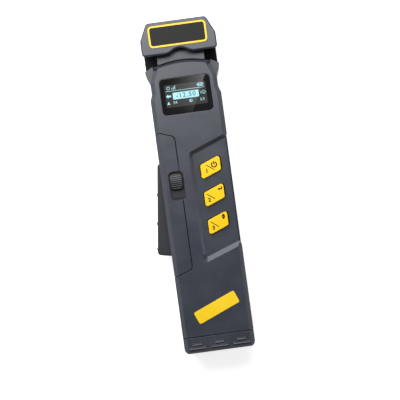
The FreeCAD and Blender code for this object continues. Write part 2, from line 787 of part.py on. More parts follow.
def make_trigger():
    """Squeeze lever with three grip bumps, the inner arm that lifts the jaw and the lock lug."""
    body = new_body("trigger")
    lever = [
        ("trigger_top_x", "trigger_top_y"),
        ("trigger_end_x", "trigger_end_y - 0.2"),
        ("lever_end_x", "trigger_end_y - 2.1"),
        ("lever_top_x", "pivot_y - 6.5"),
        ("pivot_x + 1.8", "pivot_y - 2.4"),
        ("pivot_x - 2.4", "pivot_y - 0.9"),
        ("trigger_top_x + 4", "trigger_top_y + 0.4"),
    ]
    grow(body, "lever", [lever], "trigger_low_z", "trigger_high_z")
    soften(body, "Fillet", "lever_corners", "trigger_corner",
           lambda edge: is_upright(edge) and edge.CenterOfMass.x < number("trigger_top_x") + 0.1)
    soften(body, "Chamfer", "lever_edges", "trigger_bevel",
           lambda edge: not is_upright(edge) and edge.BoundBox.XMax < -21)
    ridges = []
    for share in TRIGGER_RIDGES:
        x = "trigger_top_x + %.2f * (trigger_end_x - trigger_top_x) + ridge_radius - ridge_height" % share
        y = "trigger_top_y + %.2f * (trigger_end_y - trigger_top_y)" % share
        ridges.append(circle(x, y, "ridge_radius"))
    grow(body, "finger_ridges", ridges, "trigger_low_z + 0.9", "trigger_high_z - 0.9")
    grow(body, "pivot_hub", [circle("pivot_x", "pivot_y", "pivot_radius")], "arm_low_z", "trigger_high_z")
    arm = [("pivot_x", "pivot_y - 2.8"), ("pivot_x + arm_length + 1.4", "pivot_y - 2.0"),
           ("pivot_x + arm_length + 1.4", "pivot_y + 2.0", "right", 2.2), ("pivot_x", "pivot_y + 2.8")]
    grow(body, "inner_arm", [arm], "arm_low_z", "arm_high_z")
    grow(body, "nose", [circle("pivot_x + arm_length", "pivot_y", "nose_radius")],
         "arm_high_z", "stem_high_z - 0.4")
    lug_span = ("lug_top_y - lug_length", "lug_top_y")
    grow(body, "lug_bracket", [rectangle("lug_left_x - 2.5", "lug_left_x + lug_width", *lug_span)],
         "trigger_high_z - 3", "trigger_high_z")
    grow(body, "lock_lug", [rectangle("lug_left_x", "lug_left_x + lug_width", *lug_span)],
         "trigger_high_z", "lug_high_z")
    carve(body, "pin_bore", [circle("pivot_x", "pivot_y", "pin_radius + pin_fit")],
          "arm_low_z", "trigger_high_z")


def make_trigger_pin():
    subparts["trigger_pin"] = round_bar("trigger_pin", "pin_radius", "pin_high_z - pin_low_z",
                                        "pivot_x", "pivot_y", "pin_low_z")


def make_clamp_jaw():
    """Sliding jaw: convex saddle, the neck plate in front of it and the stem that the trigger lifts."""
    body = new_body("clamp_jaw")
    crest = ("right", "bend_radius")
    saddle = mirrored([("jaw_half_width", "jaw_low_y"), ("jaw_half_width", "jaw_shoulder_y")], crown=crest)
    grow(body, "saddle", [saddle], "jaw_back_z", "jaw_lip_z")
    back_plate = mirrored([("jaw_half_width", "jaw_low_y"), ("jaw_half_width", "neck_top_y")])
    grow(body, "lip_plate", [back_plate], "jaw_lip_z", "neck_low_z")
    neck = mirrored([("jaw_half_width", "neck_low_y"), ("jaw_half_width", "neck_top_y")],
                    sole=("left", "seal_radius"))
    grow(body, "neck_plate", [neck], "neck_low_z", "neck_front_z")
    soften(body, "Chamfer", "neck_edge", "neck_bevel",
           lambda edge: lies_at(edge, "neck_front_z") and edge.CenterOfMass.y < number("neck_low_y") + 3
           and edge.BoundBox.XLength > number("jaw_half_width"))
    tab_low = "pivot_y - 5"
    nose_x = "(pivot_x + arm_length)"
    stem = [
        (nose_x + " - 4.2", tab_low), (nose_x + " + 4", tab_low), (nose_x + " + 4", "pivot_y + 5.5"),
        ("stem_right_x", "pivot_y + 7.5"), ("stem_right_x", "jaw_low_y"), ("stem_left_x", "jaw_low_y"),
        ("stem_left_x", "spring_low_y"), ("spring_x - 4", "spring_low_y"),
        ("spring_x - 4", "spring_low_y - 2.5"), ("stem_left_x", "spring_low_y - 4"),
        ("stem_left_x", "pivot_y + 7.5"), (nose_x + " - 4.2", "pivot_y + 4"),
    ]
    grow(body, "stem", [stem], "stem_low_z", "stem_high_z")
    slot = rounded_rectangle(nose_x + " - 0.2", "pivot_y", "2 * nose_radius + 2 * nose_gap + 0.4",
                             "2 * nose_radius + 2 * nose_gap", 1.8)
    carve(body, "nose_slot", [slot], "stem_low_z", "stem_high_z")


def make_jaw_pad():
    """Rubber pad that follows the saddle's curve."""
    body = new_body("jaw_pad")
    loop = mirrored([("pad_half_width", "pad_side_y"), ("pad_half_width", "pad_side_y + pad_thickness")],
                    crown=("right", "bend_radius"), sole=("left", "bend_radius"))
    grow(body, "pad_strip", [loop], "jaw_back_z + 1.5", "anvil_front_z")


def make_jaw_spring():
    """Compression spring between the rear cover's wall and the jaw's stem."""
    place = {"y": "spring_low_y + running_gap + spring_wire", "z": "(stem_low_z + stem_high_z) / 2"}
    path = primitive("Helix", "spring_path", Pitch="spring_pitch", Radius="spring_radius",
                     Height="spring_high_y - spring_low_y - running_gap - 2 * spring_wire")
    path.Placement = FreeCAD.Placement(Vector(), FreeCAD.Rotation(Vector(1, 0, 0), -90))
    path.setExpression("Placement.Base.x", bind("spring_x"))
    section = primitive("RegularPolygon", "spring_section", Circumradius="spring_wire")
    section.Polygon = SPRING_WIRE_SIDES
    section.setExpression("Placement.Base.x", bind("spring_x + spring_radius"))
    for axis, value in place.items():
        path.setExpression("Placement.Base." + axis, bind(value))
        section.setExpression("Placement.Base." + axis, bind(value))
    doc.recompute()
    spring = doc.addObject("Part::Sweep", "jaw_spring")
    spring.Sections = [section]
    spring.Spine = (path, ["Edge%d" % turn for turn in range(1, len(path.Shape.Edges) + 1)])
    spring.Solid = True
    spring.Frenet = True
    settle(spring)
    subparts["jaw_spring"] = spring


def make_anvil():
    """Fixed block over the jaw: concave middle, flared mouths and two tilted detectors."""
    body = doc.addObject("PartDesign::Body", "anvil_body")
    loop = mirrored([("anvil_half_width", "anvil_foot_y"), ("anvil_flare_x", "anvil_flare_y"),
                     ("anvil_flare_x", "head_side_y - 0.2"), ("anvil_flare_x - 1.8", "anvil_top_y")],
                    sole=("left", "bend_radius"))
    grow(body, "anvil_form", [loop], "slot_floor_z", "anvil_front_z")
    tilt = math.radians(number("detector_tilt"))
    middle_z = "(jaw_back_z + anvil_front_z) / 2"
    bores = []
    for side, sign in SIDES.items():
        across, along = sign * math.sin(tilt), math.cos(tilt)

        def tilted_bar(name, radius, start, end):
            """A cylinder along the tilted axis between two distances from the anvil's face."""
            return round_bar(name, radius, "(%s) - (%s)" % (end, start),
                             "%d * detector_x + %.4f * (%s)" % (sign, across, start),
                             "detector_y + %.4f * (%s)" % (along, start), middle_z, (across, along, 0))

        name = "detector_" + side
        bores.append(tilted_bar("bore_" + side, "detector_radius + 0.05", "-2", "detector_length"))
        can = tilted_bar(name + "_can", "detector_radius", "detector_sink + 0.5", "detector_length - 0.1")
        lens = tilted_bar(name + "_lens", "0.6 * detector_radius", "detector_sink", "detector_sink + 0.6")
        subparts[name] = combine("MultiFuse", name, [can, lens])
    anvil = doc.addObject("Part::Cut", "anvil_block")
    anvil.Base = body
    anvil.Tool = combine("MultiFuse", "detector_bores", bores)
    doc.recompute()
    subparts["anvil_block"] = anvil


def make_head_cap():
    """Hood over the fibre slot, with a wavy lip that overhangs the neck plate."""
    body = new_body("head_cap")
    half_notch, half_depth = "notch_half_width / 2", "notch_depth / 2"
    bend = number("(notch_half_width ^ 2 + notch_depth ^ 2) / (4 * notch_depth)")
    chain = [
        ("0", "lip_y + notch_depth"),
        (half_notch, "lip_y + " + half_depth, "left", bend),
        ("notch_half_width", "lip_y", "right", bend),
        ("cap_half_width - lip_corner", "lip_y"),
        ("cap_half_width", "lip_y + lip_corner", "right", "lip_corner"),
        ("cap_half_width", "cap_side_y"),
        ("cap_corner_x", "cap_top_y"),
    ]
    grow(body, "hood", [mirrored(chain)], "ear_top_z", "cap_front_z")
    soften(body, "Fillet", "hood_corners", "cap_corner",
           lambda edge: is_upright(edge) and edge.CenterOfMass.y > number("cap_side_y") - 1)
    soften(body, "Chamfer", "hood_rim", "cap_rim", lambda edge: lies_at(edge, "cap_front_z"))
    inside = "cap_half_width - side_wall"
    hollow = [("ear_half_width + 1", "ear_tip_y"), ("ear_half_width + 1", "cap_wall_y"),
              (inside, "cap_wall_y"), (inside, "cap_side_y - 0.5"),
              ("cap_corner_x - 1.3", "cap_top_y - side_wall")]
    carve(body, "hood_hollow", [mirrored(hollow)], "ear_top_z", "cap_roof_z")
    seat = rounded_rectangle("0", "label_y", "label_width + 0.3", "label_height + 0.3", "label_corner")
    carve(body, "label_seat", [seat], "cap_front_z - label_sink", "cap_front_z + 1")


def make_label_plate():
    body = new_body("label_plate")
    loop = rounded_rectangle("0", "label_y", "label_width", "label_height", "label_corner")
    grow(body, "label_sheet", [loop], "cap_front_z - label_sink", "cap_front_z + 0.05")


def make_end_cap():
    """Battery end cap with grip ribs, a boss for the contact plate and a latch tongue."""
    body = new_body("end_cap")
    outline = rectangle("-cap_end_half_width", "cap_end_half_width", "cap_end_y", "cap_split_y")
    grow(body, "cap_shell", [outline], 0, "front_z")
    soften(body, "Chamfer", "cap_sides", "edge_chamfer",
           lambda edge: lies_at(edge, "front_z") and abs(edge.CenterOfMass.x) > number("screw_x"))
    soften(body, "Chamfer", "cap_front_end", "cap_end_bevel",
           lambda edge: lies_at(edge, "front_z") and edge.CenterOfMass.y < number("cap_end_y") + 0.1)
    soften(body, "Fillet", "cap_corners", "cap_end_corner",
           lambda edge: is_upright(edge) and edge.CenterOfMass.y < number("cap_end_y") + 0.1)
    soften(body, "Chamfer", "cap_back", "back_chamfer",
           lambda edge: lies_at(edge, 0) and edge.CenterOfMass.y < number("cap_split_y") - 0.1)
    inside = "cap_end_half_width - side_wall"
    hollow = rectangle("-(%s)" % inside, inside, "cap_end_y + side_wall", "cap_split_y + 1")
    carve(body, "cap_hollow", [hollow], "face_wall - running_gap", "front_z - face_wall")
    boss = rectangle("-bay_half_width", "bay_half_width", "cap_end_y + side_wall", "cap_boss_y")
    grow(body, "contact_boss", [boss], "face_wall - running_gap", "split_z - 1")
    tongue = rectangle("-tongue_half_width", "tongue_half_width", "cap_end_y + side_wall", "tongue_tip_y")
    grow(body, "latch_tongue", [tongue], "tongue_low_z", "tongue_high_z")
    ribs = []
    for column in (-1, 0, 1):
        for y, length in GRIP_RIBS.items():
            middle = column * GRIP_COLUMN_PITCH
            ribs.append(rectangle(middle - length / 2, middle + length / 2,
                                  y - GRIP_RIB_WIDTH / 2, y + GRIP_RIB_WIDTH / 2))
    grow(body, "grip_ribs", ribs, "front_z", "front_z + grip_rib_high")


def make_badge_plate():
    body = new_body("badge_plate")
    loop = rounded_rectangle("0", "0", "badge_width", "badge_height", "badge_corner")
    grow(body, "badge_sheet", [loop], 0, "badge_thickness")
    body.Placement = FreeCAD.Placement(Vector(), FreeCAD.Rotation(Vector(0, 0, 1), number("badge_turn")))
    for axis, place in zip("xyz", ("badge_x", "badge_y", "front_z")):
        body.setExpression("Placement.Base." + axis, bind(place))


def make_electronics():
    """Circuit board, display module and the three key switches."""
    notch_x, notch_half = "screw_x - screw_post_half - 0.6", "(screw_post_half + 0.6)"
    outline = [
        ("board_left_x", "board_low_y"), ("board_right_x", "board_low_y"),
        ("board_right_x", "screw_head_y - " + notch_half), (notch_x, "screw_head_y - " + notch_half),
        (notch_x, "screw_head_y + " + notch_half), ("board_right_x", "screw_head_y + " + notch_half),
        ("board_right_x", "board_high_y"), ("board_left_x", "board_high_y"),
    ]
    grow(new_body("circuit_board"), "board_sheet", [outline], "board_low_z", "board_high_z")
    half_width = "(screen_width / 2 + screen_frame)"
    subparts["display_module"] = block("display_module", "display_x - " + half_width,
                                       "display_x + " + half_width,
                                       "screen_y - screen_height / 2 - screen_frame", "board_high_y",
                                       "board_high_z", "front_z - face_wall - 0.1")
    switches = []
    for row in range(len(KEY_NAMES)):
        centre_y = "key_first_y - %d * key_pitch" % row
        case = block("switch_case_%d" % row, "key_x - switch_size / 2", "key_x + switch_size / 2",
                     "%s - switch_size / 2" % centre_y, "%s + switch_size / 2" % centre_y,
                     "board_high_z", "board_high_z + switch_height")
        stem = polygon_bar("switch_stem_%d" % row, STEM_SIDES, "switch_stem_radius",
                           "switch_height + switch_stem", "key_x", centre_y, "board_high_z")
        switches.append(combine("MultiFuse", "switch_%d" % row, [case, stem]))
    subparts["key_switches"] = combine("Compound", "key_switches", switches)


def make_cells():
    """Two AAA cells, one each way round, and their contacts."""
    floor_z = "face_wall + cell_radius"
    length = "cell_high_y - cell_low_y"
    for side, sign in SIDES.items():
        x = "%d * cell_x" % sign
        nub_up = sign < 0
        jacket_low = "cell_low_y" if nub_up else "cell_low_y + cell_nub"
        nub_low = "cell_high_y - cell_nub - 0.1" if nub_up else "cell_low_y"
        jacket = round_bar("jacket_" + side, "cell_radius", length + " - cell_nub", x, jacket_low,
                           floor_z, (0, 1, 0))
        nub = round_bar("nub_" + side, "cell_nub_radius", "cell_nub + 0.1", x, nub_low, floor_z, (0, 1, 0))
        name = "battery_" + side
        subparts[name] = combine("MultiFuse", name, [jacket, nub])
    springs = []
    for side, sign in SIDES.items():
        springs.append(polygon_bar("contact_" + side, CONTACT_SIDES, "contact_radius",
                                   "bay_stop_y - cell_high_y", "%d * cell_x" % sign, "bay_stop_y",
                                   floor_z, (0, -1, 0)))
    subparts["contact_springs"] = combine("Compound", "contact_springs", springs)
    subparts["contact_plate"] = block("contact_plate", "-bay_half_width + 1", "bay_half_width - 1",
                                      "cap_boss_y", "cap_boss_y + 0.3", "face_wall + 1", "split_z - 1.5")


def make_housing_screws():
    screws = []
    for place, (x, y) in enumerate(SCREW_PLACES):
        head = polygon_bar("screw_head_%d" % place, SCREW_HEAD_SIDES, "screw_head_radius",
                           "screw_head_sink - screw_head_low_z", x, y, "screw_head_low_z")
        shank = polygon_bar("screw_shank_%d" % place, SCREW_SHANK_SIDES, "screw_radius",
                            "screw_tip_z - screw_head_low_z", x, y, "screw_head_low_z")
        screws.append(combine("MultiFuse", "screw_%d" % place, [head, shank]))
    subparts["housing_screws"] = combine("Compound", "housing_screws", screws)


def write_parts():
    """Test every object, then write each sub-part to its own file."""
    doc.recompute()
    failed = [item.Name for item in doc.Objects if {"Invalid", "Error"} & set(item.State)]
    if failed:
        raise RuntimeError("failed objects: %s" % failed)
    for name, item in subparts.items():
        if item.Shape.isNull() or not item.Shape.isValid():
            raise RuntimeError("%s has no valid shape" % name)
    os.makedirs("parts", exist_ok=True)
    for name, item in subparts.items():
        item.Label = name
        item.Shape.exportStep("parts/%s.step" % name)
        print("%-16s %9.1f mm3, %d solids" % (name, item.Shape.Volume, len(item.Shape.Solids)))


make_rear_cover()
make_front_pieces()
make_neck_seal()
make_display_window()
make_keys()
make_lock_slider()
make_trigger()
make_trigger_pin()
make_clamp_jaw()
make_jaw_pad()
make_jaw_spring()
make_anvil()
make_head_cap()
make_label_plate()
make_end_cap()
make_badge_plate()
make_electronics()
make_cells()
make_housing_screws()
write_parts()
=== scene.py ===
"""Looks of a hand-held optical fibre identifier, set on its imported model.

The tester lies on its back, with its front towards +Z and its clamp head towards +Y.
Sizes are in millimetres unless a name or comment says otherwise, and MM turns them into the frame's metres.
"""
import math

import bmesh
import bpy
from mathutils import Matrix, Vector


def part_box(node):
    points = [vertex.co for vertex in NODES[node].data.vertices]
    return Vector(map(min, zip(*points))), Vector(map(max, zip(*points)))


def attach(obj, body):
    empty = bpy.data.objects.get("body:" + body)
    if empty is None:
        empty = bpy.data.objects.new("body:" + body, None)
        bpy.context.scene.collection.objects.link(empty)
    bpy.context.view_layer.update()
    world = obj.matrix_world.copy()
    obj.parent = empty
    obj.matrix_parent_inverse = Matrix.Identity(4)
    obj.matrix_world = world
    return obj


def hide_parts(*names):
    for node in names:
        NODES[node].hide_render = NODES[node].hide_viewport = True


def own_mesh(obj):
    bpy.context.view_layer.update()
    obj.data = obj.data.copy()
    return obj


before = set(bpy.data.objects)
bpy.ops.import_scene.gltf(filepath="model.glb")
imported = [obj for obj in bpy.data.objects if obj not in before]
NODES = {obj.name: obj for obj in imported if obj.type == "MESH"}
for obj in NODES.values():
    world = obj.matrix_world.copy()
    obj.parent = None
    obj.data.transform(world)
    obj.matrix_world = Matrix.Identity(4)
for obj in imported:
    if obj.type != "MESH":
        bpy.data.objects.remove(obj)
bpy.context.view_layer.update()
MM = 0.001

# Tolerances for picking edges by height, for cuts, and for faces that look down
LEVEL_TOLERANCE = 0.001
CUT_TOLERANCE = 0.0001
FACES_DOWN = -0.99

# Steps of rounded corners, bevelled rims and arcs
CORNER_STEPS = 6
RIM_STEPS = 3
ARC_STEP_DEG = 15
ARC_LEAST_STEPS = 6
DISC_SIDES = 24

# Camera of the photograph: straight above the front, turned a little
VIEW_WIDTH = 232.0
VIEW_DISTANCE = 550.0
VIEW_CENTRE = (0.0, -9.2)
VIEW_ROLL_DEG = -7.78
SENSOR_WIDTH = 36.0

# Print on the label plate and ground of the display
PRINT_THICKNESS = 0.03
FIGURE_RESOLUTION = 3
LABEL_BORDER = 1.05
LABEL_CORNER = 2.3
LABEL_MARGIN = 0.1
SCREEN_CENTRE = Vector((0.23, 52.6))
SCREEN_SIZE = (24.1, 13.1)
SCREEN_CORNER = 0.5

# Signs on the display, placed from its centre
SIGN_LINE = 0.28
STATUS_RING = {"centre": (-9.8, 4.8), "radius": 0.85}
SIGNAL_BARS = {"start": (-7.7, 3.8), "pitch": 0.9, "width": 0.36, "heights": (0.9, 1.5, 2.2)}
CHARGE_CASE = {"centre": (9.1, 4.75), "size": (3.3, 1.9), "corner": 0.3}
CHARGE_BARS = {"start": (8.2, 4.75), "pitch": 0.85, "count": 3, "size": (0.5, 1.0)}
CHARGE_TIP = {"centre": (7.2, 4.75), "size": (0.4, 0.8)}
RULE = {"start": (-11.6, 3.05), "end": (10.9, 3.05), "width": 0.22}
READING_BOX = {"centre": (-0.1, -0.1), "size": (15.2, 4.0), "corner": 0.5}
READING = {"words": "-12.50", "size": 3.8, "weight": 0.04, "spacing": 1.2}
LEFT_ARROW = [(-11.7, 0.1), (-10.3, -1.1), (-10.3, -0.4), (-8.7, -0.4), (-8.7, 0.6), (-10.3, 0.6),
              (-10.3, 1.3)]
RIGHT_ARROW_SHIFT = -0.1
RIGHT_ARROW_LINE = 0.24
PEAK_SIGN = [(-11.5, -4.7), (-9.7, -4.7), (-10.6, -3.0)]
HALF_MOON = {"centre": (2.4, -3.9), "ring_radius": 0.75, "disc_radius": 0.7}
SMALL_FIGURES = {"04": (-6.7, -3.9), "3.0": (9.0, -3.9)}
SMALL_FIGURE_SIZE = 2.3

# Signs on the keys, placed from each packed key's centre
KEY_CENTRES = {"key_power": (8.85, 9.2), "key_reference": (8.85, -7.05), "key_set": (8.85, -23.3)}
KEY_BODIES = {"key_power": "power_button", "key_reference": "reference_button", "key_set": "set_button"}
KEY_LINE = 0.42
KEY_DIVIDERS = {
    "key_power": ((-2.6, 1.3), (2.0, -2.2)),
    "key_reference": ((-4.6, 0.7), (0.0, -2.5)),
    "key_set": ((-4.4, 0.7), (0.0, -2.7)),
}
KEY_NUMBERS = {
    "key_power": ("1", (-2.6, -2.3)),
    "key_reference": ("2", (-3.3, -2.9)),
    "key_set": ("3", (-3.1, -3.0)),
}
KEY_NUMBER_SIZE = 3.1
KEY_NUMBER_WEIGHT = 0.13
POWER_SIGN = {"centre": (2.0, 1.0), "radius": 1.45, "line": 0.68, "stem": 2.0}
POWER_ARC_DEG = {"start": 120, "sweep": 300}
RETURN_TIP = [(2.1, 2.7), (3.3, 1.85), (3.3, 3.55)]
RETURN_BARS = [((3.2, 2.7), (4.75, 2.7)), ((4.44, 2.6), (4.44, 4.1))]
RETURN_LINE = 0.62
STEP_ARROWS = {"centre": (3.35, 2.9), "half_width": 1.15, "gap": 0.08, "height": 1.8}

# Keys: centre and half size of cap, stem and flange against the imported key's centre
KEY_SLOPE = 0.385
KEY_CORNER = 1.45
KEY_RIM = 0.3
KEY_CAP = {"shift": (-0.15, -0.43), "half": (5.9, 4.3), "low_z": 26.87}
KEY_STEM = {"shift": (-0.15, -0.05), "half": (5.85, 3.85), "low_z": 23.7, "high_z": 27.0}
KEY_FLANGE = {"shift": (0.0, 0.0), "half": (6.95, 4.6), "low_z": 22.7, "high_z": 23.7}

# Lock slider: plate that closes the slot, knob and its ribs, and the tongue that blocks the trigger
SLIDER_PLATE_BOX = {"centre": (-12.05, 3.5), "size": (10.6, 23.4)}
SLIDER_PLATE_LEVELS = (24.8, 26.1, 26.6)
SLIDER_GROOVE_Y = (-6.95, -6.45)
KNOB_CENTRE = (-12.125, 3.05)
KNOB_SIZE = (7.45, 10.0)
KNOB_CORNER = 2.3
KNOB_TOP_Z = 28.6
KNOB_BEVEL = 0.5
KNOB_CROWN = 0.045
CROWN_CUTS = 3
RIB_PITCH = 1.17
RIB_MIDDLE_Y = 2.73
RIB_LENGTHS = (5.2, 6.2, 6.3, 6.3, 6.3, 6.2, 5.2)
RIB_WIDTH = 0.64
RIB_HEIGHT = 0.65
RIB_ROOT = 0.3
RIB_SLOPE = 0.18
RIB_SLOPE_STEPS = 2
TONGUE_BOX = {"centre": (-14.3, 0.4), "size": (1.8, 6.8), "low_z": 19.2}

# Screws on the back
SCREW_PLACES = [(x, y) for x in (-15.6, 15.6) for y in (40.6, -62.0)]
SCREW_HEAD_RADIUS = 2.3
SCREW_HEAD_HEIGHT = 1.6
SCREW_HEAD_RIM = 0.3
SCREW_HEAD_SIDES = 32
SCREW_SHANK_RADIUS = 1.0
SCREW_TIP_RADIUS = 0.9
SCREW_SHANK_SIDES = 20
CROSS_ARM = 1.35
CROSS_WIDTH = 0.5
CROSS_DEPTH = 0.9

# Grip ribs of the end cap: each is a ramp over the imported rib, with its crest towards the tail
GRIP_ROWS = {-91.3: 5.4, -93.5: 9.8}
GRIP_COLUMNS = (-12.9, 0.0, 12.9)
GRIP_PROFILE = [(0.0, 0.0), (0.0, 0.53), (-0.55, 0.57), (-1.1, 0.74), (-1.3, 0.66), (-1.35, 0.0)]

# Lower edge of the neck plate, along the seal's arch
NECK_ARCH_CENTRE = (0.0, 22.1)
NECK_EDGE_RADIUS = 51.58
NECK_EDGE_WIDTH = 0.92
NECK_EDGE_HALF_DEG = 15.2
NECK_EDGE_LEVELS = (26.95, 28.43)

# Surfaces: rounded edges, relief, roughness of plastic, lines of metal, and the cells' band and scuffs
EDGE_SAMPLES = 6
RELIEF_STRENGTH = 0.6
GLOSS_SPREAD = (0.04, 0.05)
# Extra roughness where black painted shade is laid
PAINTED_SHADE_ROUGHER = 0.5
BRUSH_SCALE_ACROSS = 1800
BRUSH_SCALE_ALONG = 60
CELL_BAND_Y = -56.0
CELL_SCUFF = "8a8d92"

# Return spring of the jaw
SPRING_WIRE_RADIUS = 0.35
SPRING_WIRE_SIDES = 8
SPRING_TURNS = 6.5
SPRING_STEPS_PER_TURN = 20

# Floor, in metres: its lift to white near the object, and the span over which that grows to full white
FLOOR_HALF_SIZE = 3.0
FLOOR_TONE = "f2f2f2"
FLOOR_ROUGHNESS = 0.9
FLOOR_LIFT = 0.7
FLOOR_FADE = (0.25, 0.6)

# Surroundings: their light on the object, and their brightness to the camera
WORLD_LIGHT = 0.05
WORLD_SEEN = 1.0

# Softboxes: place, target and size in metres, and the card that the window mirrors
SOFTBOXES = {
    "head_box": {
        "place": (-0.03, 0.20, 0.42), "target": (0, 0.05, 0.03), "size": (0.40, 0.16), "watts": 1.65,
    },
    "back_box": {
        "place": (-0.18, 0.474, 0.295), "target": (0.006, -0.043, 0.027), "size": (0.45, 0.36), "watts": 2.8,
    },
    "left_box": {
        "place": (-0.42, 0.03, 0.36), "target": (0, 0, 0.03), "size": (0.45, 0.25), "watts": 0.25,
    },
    "right_box": {
        "place": (0.45, -0.05, 0.25), "target": (0, -0.05, 0.028), "size": (0.40, 0.12), "watts": 0.32,
    },
    "tail_box": {
        "place": (0, -0.34, 0.42), "target": (0, 0, 0.03), "size": (0.40, 0.20), "watts": 0.2,
    },
}
WINDOW_CARD = {
    "place": (-0.0024, 0.1111, 0.5), "target": (-0.0024, 0.1111, 0), "size": (0.0352, 0.0474),
    "watts": 0.018, "roll_deg": -25.6,
}
CARD_FADE_POWER = 1.4


def colour(code):
    """Linear colour with alpha from a hex code such as "54575f"."""
    shares = [int(code[place:place + 2], 16) / 255 for place in (0, 2, 4)]
    linear = [share / 12.92 if share <= 0.04045 else ((share + 0.055) / 1.055) ** 2.4 for share in shares]
    return linear + [1]


def add_node(tree, kind, inputs=None, **settings):
    """A shader node; an input takes a value, or a link if it is given a socket."""
    node = tree.nodes.new("ShaderNode" + kind)
    for key, value in settings.items():
        setattr(node, key, value)
    for key, value in (inputs or {}).items():
        if isinstance(value, bpy.types.NodeSocket):
            tree.links.new(value, node.inputs[key])
        else:
            node.inputs[key].default_value = value
    return node


def mix_colours(tree, factor, first, second):
    """Colour between two colours."""
    node = add_node(tree, "Mix", data_type="RGBA")
    ends = {"Factor_Float": factor, "A_Color": first, "B_Color": second}
    for socket in node.inputs:
        if socket.identifier in ends:
            value = ends[socket.identifier]
            if isinstance(value, bpy.types.NodeSocket):
                tree.links.new(value, socket)
            else:
                socket.default_value = value
    return [socket for socket in node.outputs if socket.identifier == "Result_Color"][0]


def spread(tree, value, low, high):
    """A mask from 0 to 1 stretched between two numbers."""
    return add_node(tree, "MapRange", {"Value": value, "To Min": low, "To Max": high}).outputs["Result"]


def new_group(name, inputs, outputs):
    """An empty shader group with its named sockets, and the two ends to link to."""
    group = bpy.data.node_groups.new(name, "ShaderNodeTree")
    for label, value in inputs.items():
        socket = group.interface.new_socket(label, in_out="INPUT", socket_type="NodeSocketFloat")
        socket.default_value = value
    for label in outputs:
        group.interface.new_socket(label, in_out="OUTPUT", socket_type="NodeSocketFloat")
    start = group.nodes.new("NodeGroupInput")
    end = group.nodes.new("NodeGroupOutput")
    return group, start.outputs, end.inputs


def make_moulded_grain():
    """Pits of a spark-eroded mould as a height, and a slow mottle over the surface."""
    group, given, made = new_group("moulded_grain", {"Grain Scale": 2600, "Mottle Scale": 60},
                                   ["Height", "Mottle"])
    place = add_node(group, "TexCoord").outputs["Object"]
    pits = add_node(group, "TexVoronoi", {"Vector": place, "Scale": given["Grain Scale"]},
                    feature="SMOOTH_F1")
    grit = add_node(group, "TexNoise", {"Vector": place, "Scale": given["Grain Scale"], "Detail": 3})
    height = add_node(group, "Math", {0: pits.outputs["Distance"], 1: grit.outputs["Fac"]}, operation="ADD")
    mottle = add_node(group, "TexNoise", {"Vector": place, "Scale": given["Mottle Scale"], "Detail": 4,
                                          "Roughness": 0.6})
    sharper = add_node(group, "MapRange", {"Value": mottle.outputs["Fac"], "From Min": 0.3, "From Max": 0.7})
    group.links.new(height.outputs["Value"], made["Height"])
    group.links.new(sharper.outputs["Result"], made["Mottle"])
    return group


def make_edge_wear_and_highlight():
    """Mask of worn edges, broken up by noise; their paler colour is partly a painted edge highlight."""
    group, given, made = new_group("edge_wear_and_highlight", {"Radius": 0.0004, "Gain": 3, "Breakup Scale": 400},
                                   ["Mask"])
    place = add_node(group, "TexCoord").outputs["Object"]
    round_edge = add_node(group, "Bevel", {"Radius": given["Radius"]}, samples=EDGE_SAMPLES)
    true_normal = add_node(group, "NewGeometry").outputs["Normal"]
    match = add_node(group, "VectorMath", {0: round_edge.outputs["Normal"], 1: true_normal},
                     operation="DOT_PRODUCT")
    turned = add_node(group, "Math", {0: 1.0, 1: match.outputs["Value"]}, operation="SUBTRACT")
    strong = add_node(group, "Math", {0: turned.outputs["Value"], 1: given["Gain"]}, operation="MULTIPLY")
    patches = add_node(group, "TexNoise", {"Vector": place, "Scale": given["Breakup Scale"], "Detail": 4})
    broken = add_node(group, "MapRange", {"Value": patches.outputs["Fac"], "From Min": 0.4,
                                          "From Max": 0.65})
    mask = add_node(group, "Math", {0: strong.outputs["Value"], 1: broken.outputs["Result"]},
                    operation="MULTIPLY", use_clamp=True)
    group.links.new(mask.outputs["Value"], made["Mask"])
    return group


MOULDED_GRAIN = make_moulded_grain()
EDGE_WEAR_AND_HIGHLIGHT = make_edge_wear_and_highlight()


def place_group(tree, group, **inputs):
    """A group in a material; an input's name is written with underscores."""
    node = tree.nodes.new("ShaderNodeGroup")
    node.node_tree = group
    for key, value in inputs.items():
        node.inputs[key.replace("_", " ")].default_value = value
    return node.outputs


def new_material(name):
    """A material with its node tree and Principled shader."""
    material = bpy.data.materials.new(name)
    material.use_nodes = True
    tree = material.node_tree
    shader = [node for node in tree.nodes if node.type == "BSDF_PRINCIPLED"][0]
    return material, tree, shader


def finish_surface(tree, shader, base, roughness, height, depth, edge_round):
    """Link colour, roughness and a fine relief over softly rounded edges into the shader."""
    tree.links.new(base, shader.inputs["Base Color"])
    tree.links.new(roughness, shader.inputs["Roughness"])
    edges = add_node(tree, "Bevel", {"Radius": edge_round * MM}, samples=EDGE_SAMPLES)
    relief = add_node(tree, "Bump", {"Strength": RELIEF_STRENGTH, "Distance": depth * MM, "Height": height,
                                     "Normal": edges.outputs["Normal"]})
    tree.links.new(relief.outputs["Normal"], shader.inputs["Normal"])


def zone_mask(tree, spans, fade=None):
    """Mask that is 1 where the place lies within spans along X, Y and Z, and that may fade in along Y."""
    place = add_node(tree, "TexCoord").outputs["Object"]
    axes = add_node(tree, "SeparateXYZ", {"Vector": place}).outputs
    mask = 1.0
    for axis, (low, high) in spans.items():
        inside = add_node(tree, "Math", {0: axes[axis], 1: (low + high) / 2 * MM, 2: (high - low) / 2 * MM},
                          operation="COMPARE").outputs["Value"]
        mask = add_node(tree, "Math", {0: inside, 1: mask}, operation="MULTIPLY").outputs["Value"]
    if fade:
        start, end = fade
        ramp = add_node(tree, "MapRange", {"Value": axes["Y"], "From Min": start * MM, "From Max": end * MM})
        faded = add_node(tree, "Math", {0: ramp.outputs["Result"], 1: mask}, operation="MULTIPLY")
        mask = faded.outputs["Value"]
    return mask


